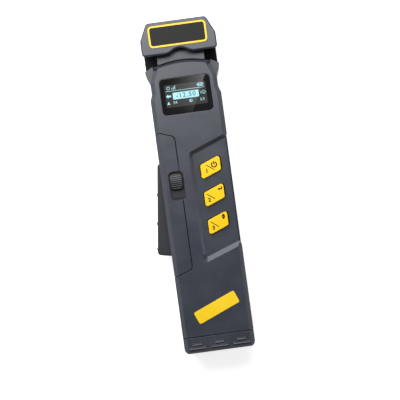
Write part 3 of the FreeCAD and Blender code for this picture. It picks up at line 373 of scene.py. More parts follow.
def moulded_plastic(name, dark, light, rubbed_and_highlight, roughness, depth=0.01, edge_round=0.3, edge_gain=2.0, specular=0.5,
                    painted_shade_zone=None, painted_light_zone=None):
    """Moulded plastic: mottled colour, spark-eroded grain, paler worn edges that are partly a painted edge
    highlight, a paler painted-highlight zone and black painted-shade zones.
    """
    material, tree, shader = new_material(name)
    grain = place_group(tree, MOULDED_GRAIN, Grain_Scale=2600, Mottle_Scale=70)
    wear_and_highlight = place_group(tree, EDGE_WEAR_AND_HIGHLIGHT, Radius=0.35 * MM, Gain=edge_gain, Breakup_Scale=350)
    skin = mix_colours(tree, grain["Mottle"], colour(dark), colour(light))
    base = mix_colours(tree, wear_and_highlight["Mask"], skin, colour(rubbed_and_highlight))
    gloss = spread(tree, grain["Mottle"], roughness - GLOSS_SPREAD[0], roughness + GLOSS_SPREAD[1])
    # Painted highlight: a paler colour over the given zone, fading in along Y
    if painted_light_zone:
        base = mix_colours(tree, zone_mask(tree, painted_light_zone, PAINTED_WALL_LIGHT_FADE), base, colour(PAINTED_WALL_LIGHT))
    # Painted shade: black, and a little rougher, over the given zone
    if painted_shade_zone:
        zone = zone_mask(tree, painted_shade_zone)
        base = mix_colours(tree, zone, base, colour(PAINTED_SHADE_BLACK))
        duller = add_node(tree, "Math", {0: zone, 1: PAINTED_SHADE_ROUGHER, 2: gloss}, operation="MULTIPLY_ADD")
        gloss = duller.outputs["Value"]
    shader.inputs["Specular IOR Level"].default_value = specular
    finish_surface(tree, shader, base, gloss, grain["Height"], depth, edge_round)
    return material


def slider_plastic(name, dark, light, plate, rubbed_and_highlight):
    """Slider in two tones: a dark knob above the plate that closes its slot, with black painted shade in the
    slot around the knob.
    """
    material, tree, shader = new_material(name)
    grain = place_group(tree, MOULDED_GRAIN, Grain_Scale=2200, Mottle_Scale=120)
    wear_and_highlight = place_group(tree, EDGE_WEAR_AND_HIGHLIGHT, Radius=0.15 * MM, Gain=1.2, Breakup_Scale=500)
    knob = mix_colours(tree, grain["Mottle"], colour(dark), colour(light))
    tones = mix_colours(tree, zone_mask(tree, SLIDER_PLATE_ZONE), knob, colour(plate))
    # Painted shade: black in the slot around the knob, and a painted shadow below it
    gap_shaded = mix_colours(tree, zone_mask(tree, KNOB_GAP_SHADE_ZONE), tones, colour(PAINTED_SHADE_BLACK))
    base = mix_colours(tree, wear_and_highlight["Mask"], gap_shaded, colour(rubbed_and_highlight))
    gloss = spread(tree, grain["Mottle"], low=0.52, high=0.6)
    finish_surface(tree, shader, base, gloss, grain["Height"], depth=0.008, edge_round=0.1)
    return material


def soft_rubber(name, dark, light):
    """Matt rubber with a fine dusty bloom."""
    material, tree, shader = new_material(name)
    bloom = place_group(tree, MOULDED_GRAIN, Grain_Scale=1800, Mottle_Scale=240)
    shader.inputs["Specular IOR Level"].default_value = 0.25
    base = mix_colours(tree, bloom["Mottle"], colour(dark), colour(light))
    gloss = spread(tree, bloom["Mottle"], low=0.72, high=0.86)
    finish_surface(tree, shader, base, gloss, bloom["Height"], depth=0.03, edge_round=0.2)
    return material


def polished_window(name, dark, light):
    """Black polished pane with faint wipe marks."""
    material, tree, shader = new_material(name)
    wipe = place_group(tree, MOULDED_GRAIN, Grain_Scale=300, Mottle_Scale=180)
    base = mix_colours(tree, wipe["Mottle"], colour(dark), colour(light))
    gloss = spread(tree, wipe["Mottle"], low=0.008, high=0.025)
    finish_surface(tree, shader, base, gloss, wipe["Height"], depth=0.0001, edge_round=0.25)
    return material


def lit_print(name, tone, glow):
    """Display print that may glow a little, with a fine mottle."""
    material, tree, shader = new_material(name)
    cells = place_group(tree, MOULDED_GRAIN, Grain_Scale=1500, Mottle_Scale=900)
    dimmer = [0.9 * share for share in colour(tone)[:3]] + [1]
    base = mix_colours(tree, cells["Mottle"], colour(tone), dimmer)
    tree.links.new(base, shader.inputs["Emission Color"])
    shader.inputs["Emission Strength"].default_value = glow
    gloss = spread(tree, cells["Mottle"], low=0.3, high=0.4)
    finish_surface(tree, shader, base, gloss, cells["Height"], depth=0.001, edge_round=0.02)
    return material


def brushed_metal(name, dark, light, roughness, along):
    """Metal with fine lines drawn along one axis."""
    material, tree, shader = new_material(name)
    place = add_node(tree, "TexCoord").outputs["Object"]
    stretch = [BRUSH_SCALE_ACROSS] * 3
    stretch[along] = BRUSH_SCALE_ALONG
    lines_at = add_node(tree, "Mapping", {"Vector": place, "Scale": stretch})
    lines = add_node(tree, "TexNoise", {"Vector": lines_at.outputs["Vector"], "Scale": 1, "Detail": 4})
    shader.inputs["Metallic"].default_value = 1
    drawn = lines.outputs["Fac"]
    base = mix_colours(tree, drawn, colour(dark), colour(light))
    gloss = spread(tree, drawn, low=roughness - 0.08, high=roughness + 0.1)
    finish_surface(tree, shader, base, gloss, drawn, depth=0.004, edge_round=0.1)
    return material


def solder_mask(name, ground, trace):
    """Circuit board: a lacquered sheet over a grid of tracks."""
    material, tree, shader = new_material(name)
    place = add_node(tree, "TexCoord").outputs["Object"]
    tracks = add_node(tree, "TexBrick", {"Vector": place, "Scale": 260, "Mortar Size": 0.05,
                                         "Color1": colour(ground), "Color2": colour(ground),
                                         "Mortar": colour(trace)})
    grain = place_group(tree, MOULDED_GRAIN, Grain_Scale=900, Mottle_Scale=150)
    gloss = spread(tree, grain["Mottle"], low=0.25, high=0.35)
    finish_surface(tree, shader, tracks.outputs["Color"], gloss, tracks.outputs["Fac"], depth=0.03,
                   edge_round=0.1)
    return material


def cell_jacket(name, sleeve, band):
    """Battery jacket in two tones, parted across its length."""
    material, tree, shader = new_material(name)
    place = add_node(tree, "TexCoord").outputs["Object"]
    along = add_node(tree, "SeparateXYZ", {"Vector": place}).outputs["Y"]
    parted = add_node(tree, "Math", {0: along, 1: CELL_BAND_Y * MM}, operation="GREATER_THAN")
    scuff = place_group(tree, MOULDED_GRAIN, Grain_Scale=1200, Mottle_Scale=300)
    tones = mix_colours(tree, parted.outputs["Value"], colour(sleeve), colour(band))
    base = mix_colours(tree, spread(tree, scuff["Mottle"], low=0, high=0.25), tones, colour(CELL_SCUFF))
    shader.inputs["Metallic"].default_value = 0.4
    gloss = spread(tree, scuff["Mottle"], low=0.25, high=0.4)
    finish_surface(tree, shader, base, gloss, scuff["Height"], depth=0.005, edge_round=0.4)
    return material


# Painted shade: black painted inside the rear cover's fibre slot, on the jaw's lower part, inside the hood,
# and on the keys' lower parts that show in the gaps around them, where shade falls
PAINTED_SHADE_BLACK = "0c0c0e"
REAR_SLOT_SHADE_ZONE = {"Y": (69.55, 82.4), "Z": (2.9, 20.95)}
JAW_INNER_SHADE_ZONE = {"Z": (3.0, 24.95)}
HOOD_INNER_SHADE_ZONE = {"X": (-19.75, 19.75), "Y": (70.0, 88.5), "Z": (20.9, 32.85)}
KEY_GAP_SHADE_ZONE = {"Z": (20.0, 26.0)}
# Painted highlight: the left wall of the key recess is painted paler than the cover, more so towards its
# lower end
RECESS_WALL_LIGHT_ZONE = {"X": (-4.0, 0.2), "Y": (-41.0, 16.0), "Z": (26.04, 27.96)}
PAINTED_WALL_LIGHT = "5a5f6c"
PAINTED_WALL_LIGHT_FADE = (45.0, -38.0)
# Slider: heights of its plate, and the black painted shade in the slot around the knob, with a painted
# shadow below it
SLIDER_PLATE_ZONE = {"Z": (15.0, 26.7)}
KNOB_GAP_SHADE_ZONE = {"X": (-16.5, -7.6), "Y": (-2.9, 9.2), "Z": (15.0, 28.0)}
# Grey of the moulded pieces: darker and lighter mottle, worn edges that are partly a painted highlight, and
# roughness
GREY_PLASTIC = ("343841", "3b3f49", "5e626b", 0.36)

HOUSING = moulded_plastic("housing_plastic", *GREY_PLASTIC)
# The front cover carries the painted highlight on the key recess's left wall
FRONT = moulded_plastic("front_plastic", *GREY_PLASTIC, painted_light_zone=RECESS_WALL_LIGHT_ZONE)
GRIP = moulded_plastic("grip_plastic", *GREY_PLASTIC, edge_round=0.06)
REAR = moulded_plastic("rear_plastic", *GREY_PLASTIC, painted_shade_zone=REAR_SLOT_SHADE_ZONE)
JAW = moulded_plastic("jaw_plastic", *GREY_PLASTIC, painted_shade_zone=JAW_INNER_SHADE_ZONE)
HOOD = moulded_plastic("hood_plastic", *GREY_PLASTIC, edge_round=0.08, painted_shade_zone=HOOD_INNER_SHADE_ZONE)
LEVER = moulded_plastic("lever_plastic", "212429", "25282e", "44474e", 0.5)
SLIDER = slider_plastic("slider_plastic", "12141a", "181a20", "1e1f25", "44474e")
# Knob ribs: grey on the dark knob, a painted highlight
KNOB_RIB_HIGHLIGHT = moulded_plastic("knob_rib_painted_highlight", "363940", "40434a", "6a6d75", 0.38, edge_round=0.05, edge_gain=1.2)
ANVIL = moulded_plastic("anvil_plastic", "151517", "1d1d20", "38383b", 0.6)
KEY = moulded_plastic("key_plastic", "f3c70b", "f9ce17", "ffe066", 0.42, depth=0.008, edge_gain=0.8,
                      specular=0.35, painted_shade_zone=KEY_GAP_SHADE_ZONE)
BADGE = moulded_plastic("badge_film", "fad010", "ffd822", "ffe56e", 0.45, depth=0.006, edge_gain=0.5)
LABEL = moulded_plastic("label_film", "191918", "1f1f1e", "303030", 0.6, depth=0.006, edge_gain=0.5,
                        specular=0.25)
LABEL_EDGE = moulded_plastic("label_border_ink", "f6c614", "fdd028", "fee07a", 0.45, depth=0.004, edge_gain=0.3)
KEY_INK = moulded_plastic("key_ink", "14120c", "1b1811", "2c281c", 0.6, depth=0.002, edge_gain=0.2, specular=0.2)
SWITCH = moulded_plastic("switch_plastic", "202022", "28282b", "454549", 0.5)
# The neck seal's dark blue-grey is painted shade along the arch below the neck plate
NECK_SEAL_SHADE = soft_rubber("neck_seal_painted_shade", "373d47", "414751")
PAD = soft_rubber("pad_rubber", "1a1a1b", "262627")
WINDOW = polished_window("window_pane", "161618", "1b1b1d")
SCREEN = polished_window("screen_ground", "373636", "3c3b3a")
MODULE = polished_window("display_module_case", "2c3030", "353a3a")
SCREEN_LIT = lit_print("screen_lit_cells", "98d2da", 0.12)
SCREEN_DARK = lit_print("screen_dark_cells", "3f5a5e", 0.0)
STEEL = brushed_metal("plain_steel", "8f9296", "c3c6ca", 0.3, along=2)
GILT = brushed_metal("gilt_can", "b8923c", "e2c070", 0.28, along=1)
BOARD = solder_mask("board_lacquer", "0a2413", "15381f")
CELL = cell_jacket("cell_sleeve", "30343c", "b08a3a")

NODE_FINISHES = {
    "rear_cover": REAR, "front_cover": FRONT, "side_panel": HOUSING, "clamp_jaw": JAW,
    "head_cap": HOOD, "end_cap": HOUSING, "neck_seal": NECK_SEAL_SHADE, "display_window": WINDOW,
    "key_power": KEY, "key_reference": KEY, "key_set": KEY, "lock_slider": SLIDER, "trigger": LEVER,
    "trigger_pin": STEEL, "jaw_pad": PAD, "jaw_spring": STEEL, "detector_left": GILT,
    "detector_right": GILT, "anvil_block": ANVIL, "label_plate": LABEL, "badge_plate": BADGE,
    "circuit_board": BOARD, "display_module": MODULE, "key_switches": SWITCH, "battery_left": CELL,
    "battery_right": CELL, "contact_springs": STEEL, "contact_plate": STEEL, "housing_screws": STEEL,
}


def dress_nodes():
    """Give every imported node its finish."""
    for name, material in NODE_FINISHES.items():
        slots = NODES[name].data.materials
        slots.clear()
        slots.append(material)


def finish_piece(name, shape, body, material):
    """Turn a bmesh in millimetres into a piece that rides on a body."""
    bmesh.ops.recalc_face_normals(shape, faces=shape.faces)
    bmesh.ops.scale(shape, vec=(MM, MM, MM), verts=shape.verts)
    mesh = bpy.data.meshes.new(name)
    shape.to_mesh(mesh)
    shape.free()
    mesh.materials.append(material)
    piece = bpy.data.objects.new(name, mesh)
    bpy.context.scene.collection.objects.link(piece)
    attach(piece, body)
    return piece


def raise_faces(shape, faces, height):
    """Extrude flat faces into a solid of one height."""
    grown = bmesh.ops.extrude_face_region(shape, geom=faces)["geom"]
    tops = [item for item in grown if isinstance(item, bmesh.types.BMVert)]
    bmesh.ops.translate(shape, vec=(0, 0, height), verts=tops)


def add_plate(shape, corners, low_z, height=PRINT_THICKNESS):
    """A flat plate with the given corners."""
    face = shape.faces.new([shape.verts.new((x, y, low_z)) for x, y in corners])
    raise_faces(shape, [face], height)


def add_bar(shape, start, end, width, low_z):
    """A straight printed line between two points."""
    start, end = Vector(start), Vector(end)
    side = Vector((start.y - end.y, end.x - start.x)).normalized() * width / 2
    add_plate(shape, [start - side, end - side, end + side, start + side], low_z)


def add_section(shape, profile, start_x, length):
    """A solid drawn along X from a section in Y and Z."""
    section = [shape.verts.new((start_x, y, z)) for y, z in profile]
    grown = bmesh.ops.extrude_face_region(shape, geom=[shape.faces.new(section)])["geom"]
    ends = [item for item in grown if isinstance(item, bmesh.types.BMVert)]
    bmesh.ops.translate(shape, vec=(length, 0, 0), verts=ends)


def box_corners(centre, width, height):
    """Corners of an upright rectangle."""
    x, y = centre
    half_w, half_h = width / 2, height / 2
    return [(x - half_w, y - half_h), (x + half_w, y - half_h),
            (x + half_w, y + half_h), (x - half_w, y + half_h)]


def add_box(shape, centre, width, height, low_z, thickness=PRINT_THICKNESS):
    """A printed rectangle, or a block where a thickness is given."""
    add_plate(shape, box_corners(centre, width, height), low_z, thickness)


def add_frame(shape, centre, width, height, corner, border, low_z):
    """A printed border with round corners, or a full plate where the border is 0."""
    earlier = set(shape.faces)
    verts = [shape.verts.new((x, y, low_z)) for x, y in box_corners(centre, width, height)]
    shape.faces.new(verts)
    bmesh.ops.bevel(shape, geom=verts, offset=corner, segments=CORNER_STEPS, profile=0.5, affect="VERTICES",
                    material=-1)
    plate = [face for face in shape.faces if face not in earlier]
    if border:
        rim = bmesh.ops.inset_region(shape, faces=plate, thickness=border, use_even_offset=True,
                                      use_boundary=True)["faces"]
        bmesh.ops.delete(shape, geom=plate, context="FACES")
        plate = rim
    raise_faces(shape, plate, PRINT_THICKNESS)


def add_arc(shape, centre, radius, width, start_deg, sweep_deg, low_z, height=PRINT_THICKNESS):
    """An arc or full ring, spun from its section and as thick as print unless a height is given."""
    x, y = centre
    turn = Matrix.Rotation(math.radians(start_deg), 3, "Z")
    section = []
    for across, up in ((-width / 2, 0), (width / 2, 0), (width / 2, height), (-width / 2, height)):
        section.append(shape.verts.new(turn @ Vector((radius + across, 0, 0)) + Vector((x, y, low_z + up))))
    whole = sweep_deg >= 360
    face = None if whole else shape.faces.new(section)
    edges = [shape.edges.new((section[place - 1], section[place])) for place in range(4)] if whole else []
    geometry = section + edges if whole else section + list(face.edges) + [face]
    bmesh.ops.spin(shape, geom=geometry, cent=(x, y, low_z), axis=(0, 0, 1), angle=math.radians(sweep_deg),
                   steps=max(ARC_LEAST_STEPS, int(sweep_deg / ARC_STEP_DEG)), use_merge=whole)


def add_half_disc(shape, centre, radius, low_z):
    """The left half of a printed disc."""
    earlier = set(shape.faces)
    middle = (centre[0], centre[1], low_z)
    rim = bmesh.ops.create_circle(shape, cap_ends=True, segments=DISC_SIDES, radius=radius,
                                  matrix=Matrix.Translation(middle))["verts"]
    disc = [face for face in shape.faces if face not in earlier]
    bmesh.ops.bisect_plane(shape, geom=rim + list(disc[0].edges) + disc, dist=CUT_TOLERANCE, plane_co=middle,
                           plane_no=(1, 0, 0), clear_outer=True)
    raise_faces(shape, [face for face in shape.faces if face not in earlier], PRINT_THICKNESS)


def add_text(shape, words, size, centre, low_z, weight=0.0, spacing=1.0):
    """Plain figures as a flat solid."""
    curve = bpy.data.curves.new("figures", "FONT")
    curve.body = words
    curve.size = size
    curve.align_x, curve.align_y = "CENTER", "CENTER"
    curve.extrude = PRINT_THICKNESS / 2
    curve.offset = weight
    curve.space_character = spacing
    curve.resolution_u = FIGURE_RESOLUTION
    holder = bpy.data.objects.new("figures", curve)
    mesh = bpy.data.meshes.new_from_object(holder)
    mesh.transform(Matrix.Translation((centre[0], centre[1], low_z + PRINT_THICKNESS / 2)))
    shape.from_mesh(mesh)
    bpy.data.meshes.remove(mesh)
    bpy.data.objects.remove(holder)
    bpy.data.curves.remove(curve)


def top_of(node):
    """Height of a node's front, in millimetres."""
    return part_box(node)[1].z / MM


def middle_of(node):
    """Centre of a node seen from the front, in millimetres."""
    low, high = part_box(node)
    return (low.x + high.x) / 2 / MM, (low.y + high.y) / 2 / MM


def make_label_border():
    """Yellow border around the bare label plate."""
    low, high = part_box("label_plate")
    shape = bmesh.new()
    width = (high.x - low.x) / MM - LABEL_MARGIN
    height = (high.y - low.y) / MM - LABEL_MARGIN
    add_frame(shape, middle_of("label_plate"), width, height, LABEL_CORNER, LABEL_BORDER,
              top_of("label_plate"))
    finish_piece("label_border", shape, "housing", LABEL_EDGE)


def make_screen_ground():
    """Active area of the display, a shade lighter than the window around it."""
    shape = bmesh.new()
    add_frame(shape, SCREEN_CENTRE, *SCREEN_SIZE, SCREEN_CORNER, 0, top_of("display_window"))
    finish_piece("screen_ground", shape, "housing", SCREEN)


def on_screen(x, y):
    """A place on the display, given from its centre."""
    return SCREEN_CENTRE + Vector((x, y))


def add_screen_box(shape, box, line, low_z):
    """A round-cornered box of the display, drawn with a line or full where the line is 0."""
    add_frame(shape, on_screen(*box["centre"]), *box["size"], box["corner"], line, low_z)


def make_screen_cells():
    """Lit elements of the display: status row, rule, arrows, reading box and bottom row."""
    low_z = top_of("display_window") + PRINT_THICKNESS
    shape = bmesh.new()
    add_arc(shape, on_screen(*STATUS_RING["centre"]), STATUS_RING["radius"], SIGN_LINE, 0, 360, low_z)
    x, y = SIGNAL_BARS["start"]
    for step, height in enumerate(SIGNAL_BARS["heights"]):
        middle = on_screen(x + SIGNAL_BARS["pitch"] * step, y + height / 2)
        add_box(shape, middle, SIGNAL_BARS["width"], height, low_z)
    add_screen_box(shape, CHARGE_CASE, SIGN_LINE, low_z)
    x, y = CHARGE_BARS["start"]
    for step in range(CHARGE_BARS["count"]):
        add_box(shape, on_screen(x + CHARGE_BARS["pitch"] * step, y), *CHARGE_BARS["size"], low_z)
    add_box(shape, on_screen(*CHARGE_TIP["centre"]), *CHARGE_TIP["size"], low_z)
    add_bar(shape, on_screen(*RULE["start"]), on_screen(*RULE["end"]), RULE["width"], low_z)
    add_screen_box(shape, READING_BOX, 0, low_z)
    add_plate(shape, [on_screen(*corner) for corner in LEFT_ARROW], low_z)
    points = [on_screen(RIGHT_ARROW_SHIFT - x, y) for x, y in LEFT_ARROW]
    for place in range(len(points)):
        add_bar(shape, points[place - 1], points[place], RIGHT_ARROW_LINE, low_z)
    add_plate(shape, [on_screen(*corner) for corner in PEAK_SIGN], low_z)
    moon = on_screen(*HALF_MOON["centre"])
    add_arc(shape, moon, HALF_MOON["ring_radius"], SIGN_LINE, 0, 360, low_z)
    add_half_disc(shape, moon, HALF_MOON["disc_radius"], low_z)
    for words, place in SMALL_FIGURES.items():
        add_text(shape, words, SMALL_FIGURE_SIZE, on_screen(*place), low_z)
    finish_piece("screen_cells", shape, "housing", SCREEN_LIT)


def make_screen_figures():
    """Dark reading in the lit box."""
    low_z = top_of("display_window") + 2 * PRINT_THICKNESS
    shape = bmesh.new()
    add_text(shape, READING["words"], READING["size"], on_screen(*READING_BOX["centre"]), low_z,
             READING["weight"], READING["spacing"])
    finish_piece("screen_figures", shape, "housing", SCREEN_DARK)


def on_key(key, x, y):
    """A place on a key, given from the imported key's centre."""
    centre = KEY_CENTRES[key]
    return centre[0] + x, centre[1] + y


def slanted_corners(centre, half):
    """Corners of a key's outline, sharp and blunt in turn: upright sides and slanted ends."""
    x, y = centre
    half_x, half_y = half
    lift = KEY_SLOPE * half_x
    return [(x - half_x, y - half_y - lift), (x + half_x, y - half_y + lift),
            (x + half_x, y + half_y + lift), (x - half_x, y + half_y - lift)]


def add_block(shape, corners, rounds, low_z, high_z, rim=0.0):
    """A solid on a four-cornered outline, with a round for each corner and a bevelled front rim."""
    earlier = set(shape.faces)
    verts = [shape.verts.new((x, y, low_z)) for x, y in corners]
    shape.faces.new(verts)
    for vert, offset in zip(verts, rounds):
        bmesh.ops.bevel(shape, geom=[vert], offset=offset, segments=CORNER_STEPS, profile=0.5,
                        affect="VERTICES", material=-1)
    base = [face for face in shape.faces if face not in earlier]
    raise_faces(shape, base, high_z - low_z)
    if rim:
        made = [face for face in shape.faces if face not in earlier]
        front = [edge for face in made for edge in face.edges
                 if all(abs(end.co.z - high_z) < LEVEL_TOLERANCE for end in edge.verts)]
        bmesh.ops.bevel(shape, geom=list(set(front)), offset=rim, segments=RIM_STEPS, profile=0.5,
                        affect="EDGES", material=-1)


def make_key(key, name):
    """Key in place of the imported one: its cap reaches a little further down, over the cover."""
    shape = bmesh.new()
    turn = math.radians(45) - math.atan(KEY_SLOPE) / 2
    sharp, blunt = KEY_CORNER / math.tan(turn), KEY_CORNER * math.tan(turn)
    for part in (KEY_FLANGE, KEY_STEM, KEY_CAP):
        corners = slanted_corners(on_key(key, *part["shift"]), part["half"])
        high_z = part.get("high_z", top_of(key))
        rim = KEY_RIM if part is KEY_CAP else 0.0
        add_block(shape, corners, (sharp, blunt, sharp, blunt), part["low_z"], high_z, rim)
    piece = finish_piece(name, shape, KEY_BODIES[key], KEY)
    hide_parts(key)


def crown_front(shape):
    """Lower the knob's front towards both ends, so that it is arched along its travel."""
    for vert in shape.verts:
        if vert.co.z > KNOB_TOP_Z - KNOB_BEVEL - LEVEL_TOLERANCE:
            vert.co.z -= KNOB_CROWN * (vert.co.y - KNOB_CENTRE[1]) ** 2


def make_lock_slider():
    """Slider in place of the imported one: arched knob, plate with its groove, and tongue."""
    low_z, step_z, front_z = SLIDER_PLATE_LEVELS
    shape = bmesh.new()
    outline = box_corners(KNOB_CENTRE, *KNOB_SIZE)
    add_block(shape, outline, [KNOB_CORNER] * 4, front_z, KNOB_TOP_Z, KNOB_BEVEL)
    for step in range(-CROWN_CUTS, CROWN_CUTS + 1):
        everything = shape.verts[:] + shape.edges[:] + shape.faces[:]
        bmesh.ops.bisect_plane(shape, geom=everything, dist=CUT_TOLERANCE, plane_no=(0, 1, 0),
                               plane_co=(0, KNOB_CENTRE[1] + step * RIB_PITCH, 0))
    crown_front(shape)
    x, y = SLIDER_PLATE_BOX["centre"]
    width, length = SLIDER_PLATE_BOX["size"]
    tail_y, head_y = y - length / 2, y + length / 2
    groove_tail, groove_head = SLIDER_GROOVE_Y
    plate = [(tail_y, low_z), (head_y, low_z), (head_y, front_z), (groove_head, front_z),
             (groove_head, step_z), (groove_tail, step_z), (groove_tail, front_z), (tail_y, front_z)]
    add_section(shape, plate, x - width / 2, width)
    tongue_z = TONGUE_BOX["low_z"]
    add_box(shape, TONGUE_BOX["centre"], *TONGUE_BOX["size"], tongue_z, low_z - tongue_z)
    piece = finish_piece("lock_knob", shape, "lock", SLIDER)
    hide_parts("lock_slider")


def make_knob_ribs():
    """Grip ribs across the slider's knob, painted paler than the knob as a painted highlight on them."""
    shape = bmesh.new()
    for place, length in enumerate(RIB_LENGTHS):
        y = RIB_MIDDLE_Y + (place - len(RIB_LENGTHS) // 2) * RIB_PITCH
        earlier = set(shape.faces)
        add_box(shape, (KNOB_CENTRE[0], y), length, RIB_WIDTH, KNOB_TOP_Z - RIB_ROOT, RIB_HEIGHT + RIB_ROOT)
        made = [face for face in shape.faces if face not in earlier]
        crest = [edge for face in made for edge in face.edges
                 if all(end.co.z > KNOB_TOP_Z for end in edge.verts)]
        bmesh.ops.bevel(shape, geom=list(set(crest)), offset=RIB_SLOPE, segments=RIB_SLOPE_STEPS,
                        profile=0.5, affect="EDGES", material=-1)
    crown_front(shape)
    finish_piece("lock_knob_ribs", shape, "lock", KNOB_RIB_HIGHLIGHT)


def make_grip_ribs():
    """Grip ribs on the end cap, each a ramp that rises towards the tail."""
    base_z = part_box("front_cover")[1].z / MM
    shape = bmesh.new()
    for y, length in GRIP_ROWS.items():
        for x in GRIP_COLUMNS:
            profile = [(y + across, base_z + up) for across, up in GRIP_PROFILE]
            add_section(shape, profile, x - length / 2, length)
    finish_piece("cap_grip_ribs", shape, "battery_cap", GRIP)


def make_neck_edge():
    """Lower edge of the neck plate, drawn up to the seal."""
    low_z, high_z = NECK_EDGE_LEVELS
    shape = bmesh.new()
    add_arc(shape, NECK_ARCH_CENTRE, NECK_EDGE_RADIUS, NECK_EDGE_WIDTH, 90 - NECK_EDGE_HALF_DEG,
            2 * NECK_EDGE_HALF_DEG, low_z, high_z - low_z)
    finish_piece("neck_plate_edge", shape, "jaw", GRIP)


def finish_key_print(key, shape):
    """Add the divider and the number that every key has to its sign, and finish the print."""
    low_z = top_of(key)
    start, end = KEY_DIVIDERS[key]
    add_bar(shape, on_key(key, *start), on_key(key, *end), KEY_LINE, low_z)
    number, place = KEY_NUMBERS[key]
    add_text(shape, number, KEY_NUMBER_SIZE, on_key(key, *place), low_z, KEY_NUMBER_WEIGHT)
    finish_piece(key + "_print", shape, KEY_BODIES[key], KEY_INK)


def make_power_print():
    """Power sign, divider and number on the first key."""
    key = "key_power"
    low_z = top_of(key)
    shape = bmesh.new()
    x, y = on_key(key, *POWER_SIGN["centre"])
    line = POWER_SIGN["line"]
    add_arc(shape, (x, y), POWER_SIGN["radius"], line, POWER_ARC_DEG["start"], POWER_ARC_DEG["sweep"], low_z)
    add_bar(shape, (x, y), (x, y + POWER_SIGN["stem"]), line, low_z)
    finish_key_print(key, shape)


def make_reference_print():
    """Return arrow, divider and number on the second key."""
    key = "key_reference"
    low_z = top_of(key)
    shape = bmesh.new()
    add_plate(shape, [on_key(key, *corner) for corner in RETURN_TIP], low_z)
    for start, end in RETURN_BARS:
        add_bar(shape, on_key(key, *start), on_key(key, *end), RETURN_LINE, low_z)
    finish_key_print(key, shape)


def make_set_print():
    """Up and down arrows, divider and number on the third key."""
    key = "key_set"
    low_z = top_of(key)
    shape = bmesh.new()
    x, y = on_key(key, *STEP_ARROWS["centre"])
    half = STEP_ARROWS["half_width"]
    for side in (1, -1):
        base_y = y + side * STEP_ARROWS["gap"]
        tip = (x, y + side * STEP_ARROWS["height"])
        add_plate(shape, [(x - half, base_y), (x + half, base_y), tip], low_z)
    finish_key_print(key, shape)


def add_screw(shape, x, y, low_z, high_z, head_high_z):
    """Pan-head screw, its head down, with a cross recess."""
    head = bmesh.ops.create_cone(shape, cap_ends=True, segments=SCREW_HEAD_SIDES, radius1=SCREW_HEAD_RADIUS,
                                 radius2=SCREW_HEAD_RADIUS, depth=head_high_z - low_z,
                                 matrix=Matrix.Translation((x, y, (low_z + head_high_z) / 2)))["verts"]
    rim = [edge for vert in head for edge in vert.link_edges
           if all(abs(end.co.z - low_z) < LEVEL_TOLERANCE for end in edge.verts)]
    bmesh.ops.bevel(shape, geom=list(set(rim)), offset=SCREW_HEAD_RIM, segments=RIM_STEPS, profile=0.5,
                    affect="EDGES", material=-1)
    bmesh.ops.create_cone(shape, cap_ends=True, segments=SCREW_SHANK_SIDES, radius1=SCREW_SHANK_RADIUS,
                          radius2=SCREW_TIP_RADIUS, depth=high_z - head_high_z,
                          matrix=Matrix.Translation((x, y, (head_high_z + high_z) / 2)))
    for axis in (0, 1):
        for offset in (-CROSS_ARM, -CROSS_WIDTH / 2, CROSS_WIDTH / 2, CROSS_ARM):
            middle = Vector((x, y, low_z))
            middle[axis] += offset
            normal = Vector((0, 0, 0))
            normal[axis] = 1
            cap = [face for face in shape.faces if face.normal.z < FACES_DOWN
                   and (face.calc_center_median() - Vector((x, y, low_z))).length < SCREW_HEAD_RADIUS]
            cut = cap + list({edge for face in cap for edge in face.edges})
            cut += list({vert for face in cap for vert in face.verts})
            bmesh.ops.bisect_plane(shape, geom=cut, dist=CUT_TOLERANCE, plane_co=middle, plane_no=normal)
    shape.normal_update()
    floor = []
    for face in shape.faces:
        away = face.calc_center_median() - Vector((x, y, low_z))
        across, along = sorted((abs(away.x), abs(away.y)))
        in_arm = across < CROSS_WIDTH / 2 and along < CROSS_ARM
        if abs(away.z) < LEVEL_TOLERANCE and face.normal.z < FACES_DOWN and in_arm:
            floor.append(face)
    raise_faces(shape, floor, CROSS_DEPTH)
    bmesh.ops.delete(shape, geom=floor, context="FACES_ONLY")


def make_back_screws():
    """Four screws with cross recesses, in place of the plain ones."""
    low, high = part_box("housing_screws")
    shape = bmesh.new()
    for x, y in SCREW_PLACES:
        single = bmesh.new()
        add_screw(single, x, y, low.z / MM, high.z / MM, low.z / MM + SCREW_HEAD_HEIGHT)
        mesh = bpy.data.meshes.new("one_screw")
        single.to_mesh(mesh)
        single.free()
        shape.from_mesh(mesh)
        bpy.data.meshes.remove(mesh)
    piece = finish_piece("back_screws", shape, "housing", STEEL)
    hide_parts("housing_screws")


def make_jaw_spring():
    """Coiled return spring of the jaw, in place of the plain one."""
    low, high = [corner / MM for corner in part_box("jaw_spring")]
    x, z = (low.x + high.x) / 2, (low.z + high.z) / 2
    start_y = low.y + SPRING_WIRE_RADIUS
    rise = high.y - low.y - 2 * SPRING_WIRE_RADIUS
    coil_radius = (high.x - low.x) / 2 - SPRING_WIRE_RADIUS
    steps = int(SPRING_STEPS_PER_TURN * SPRING_TURNS)
    shape = bmesh.new()
    bmesh.ops.create_circle(shape, cap_ends=True, segments=SPRING_WIRE_SIDES, radius=SPRING_WIRE_RADIUS,
                            matrix=Matrix.Translation((x + coil_radius, start_y, z)))
    section = shape.verts[:] + shape.edges[:] + shape.faces[:]
    bmesh.ops.spin(shape, geom=section, cent=(x, start_y, z), axis=(0, 1, 0), dvec=(0, rise / steps, 0),
                   angle=math.radians(360 * SPRING_TURNS), steps=steps, use_merge=False)
    bmesh.ops.holes_fill(shape, edges=[edge for edge in shape.edges if edge.is_boundary])
    piece = finish_piece("jaw_return_spring", shape, "housing", STEEL)
    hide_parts("jaw_spring")
    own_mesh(piece)


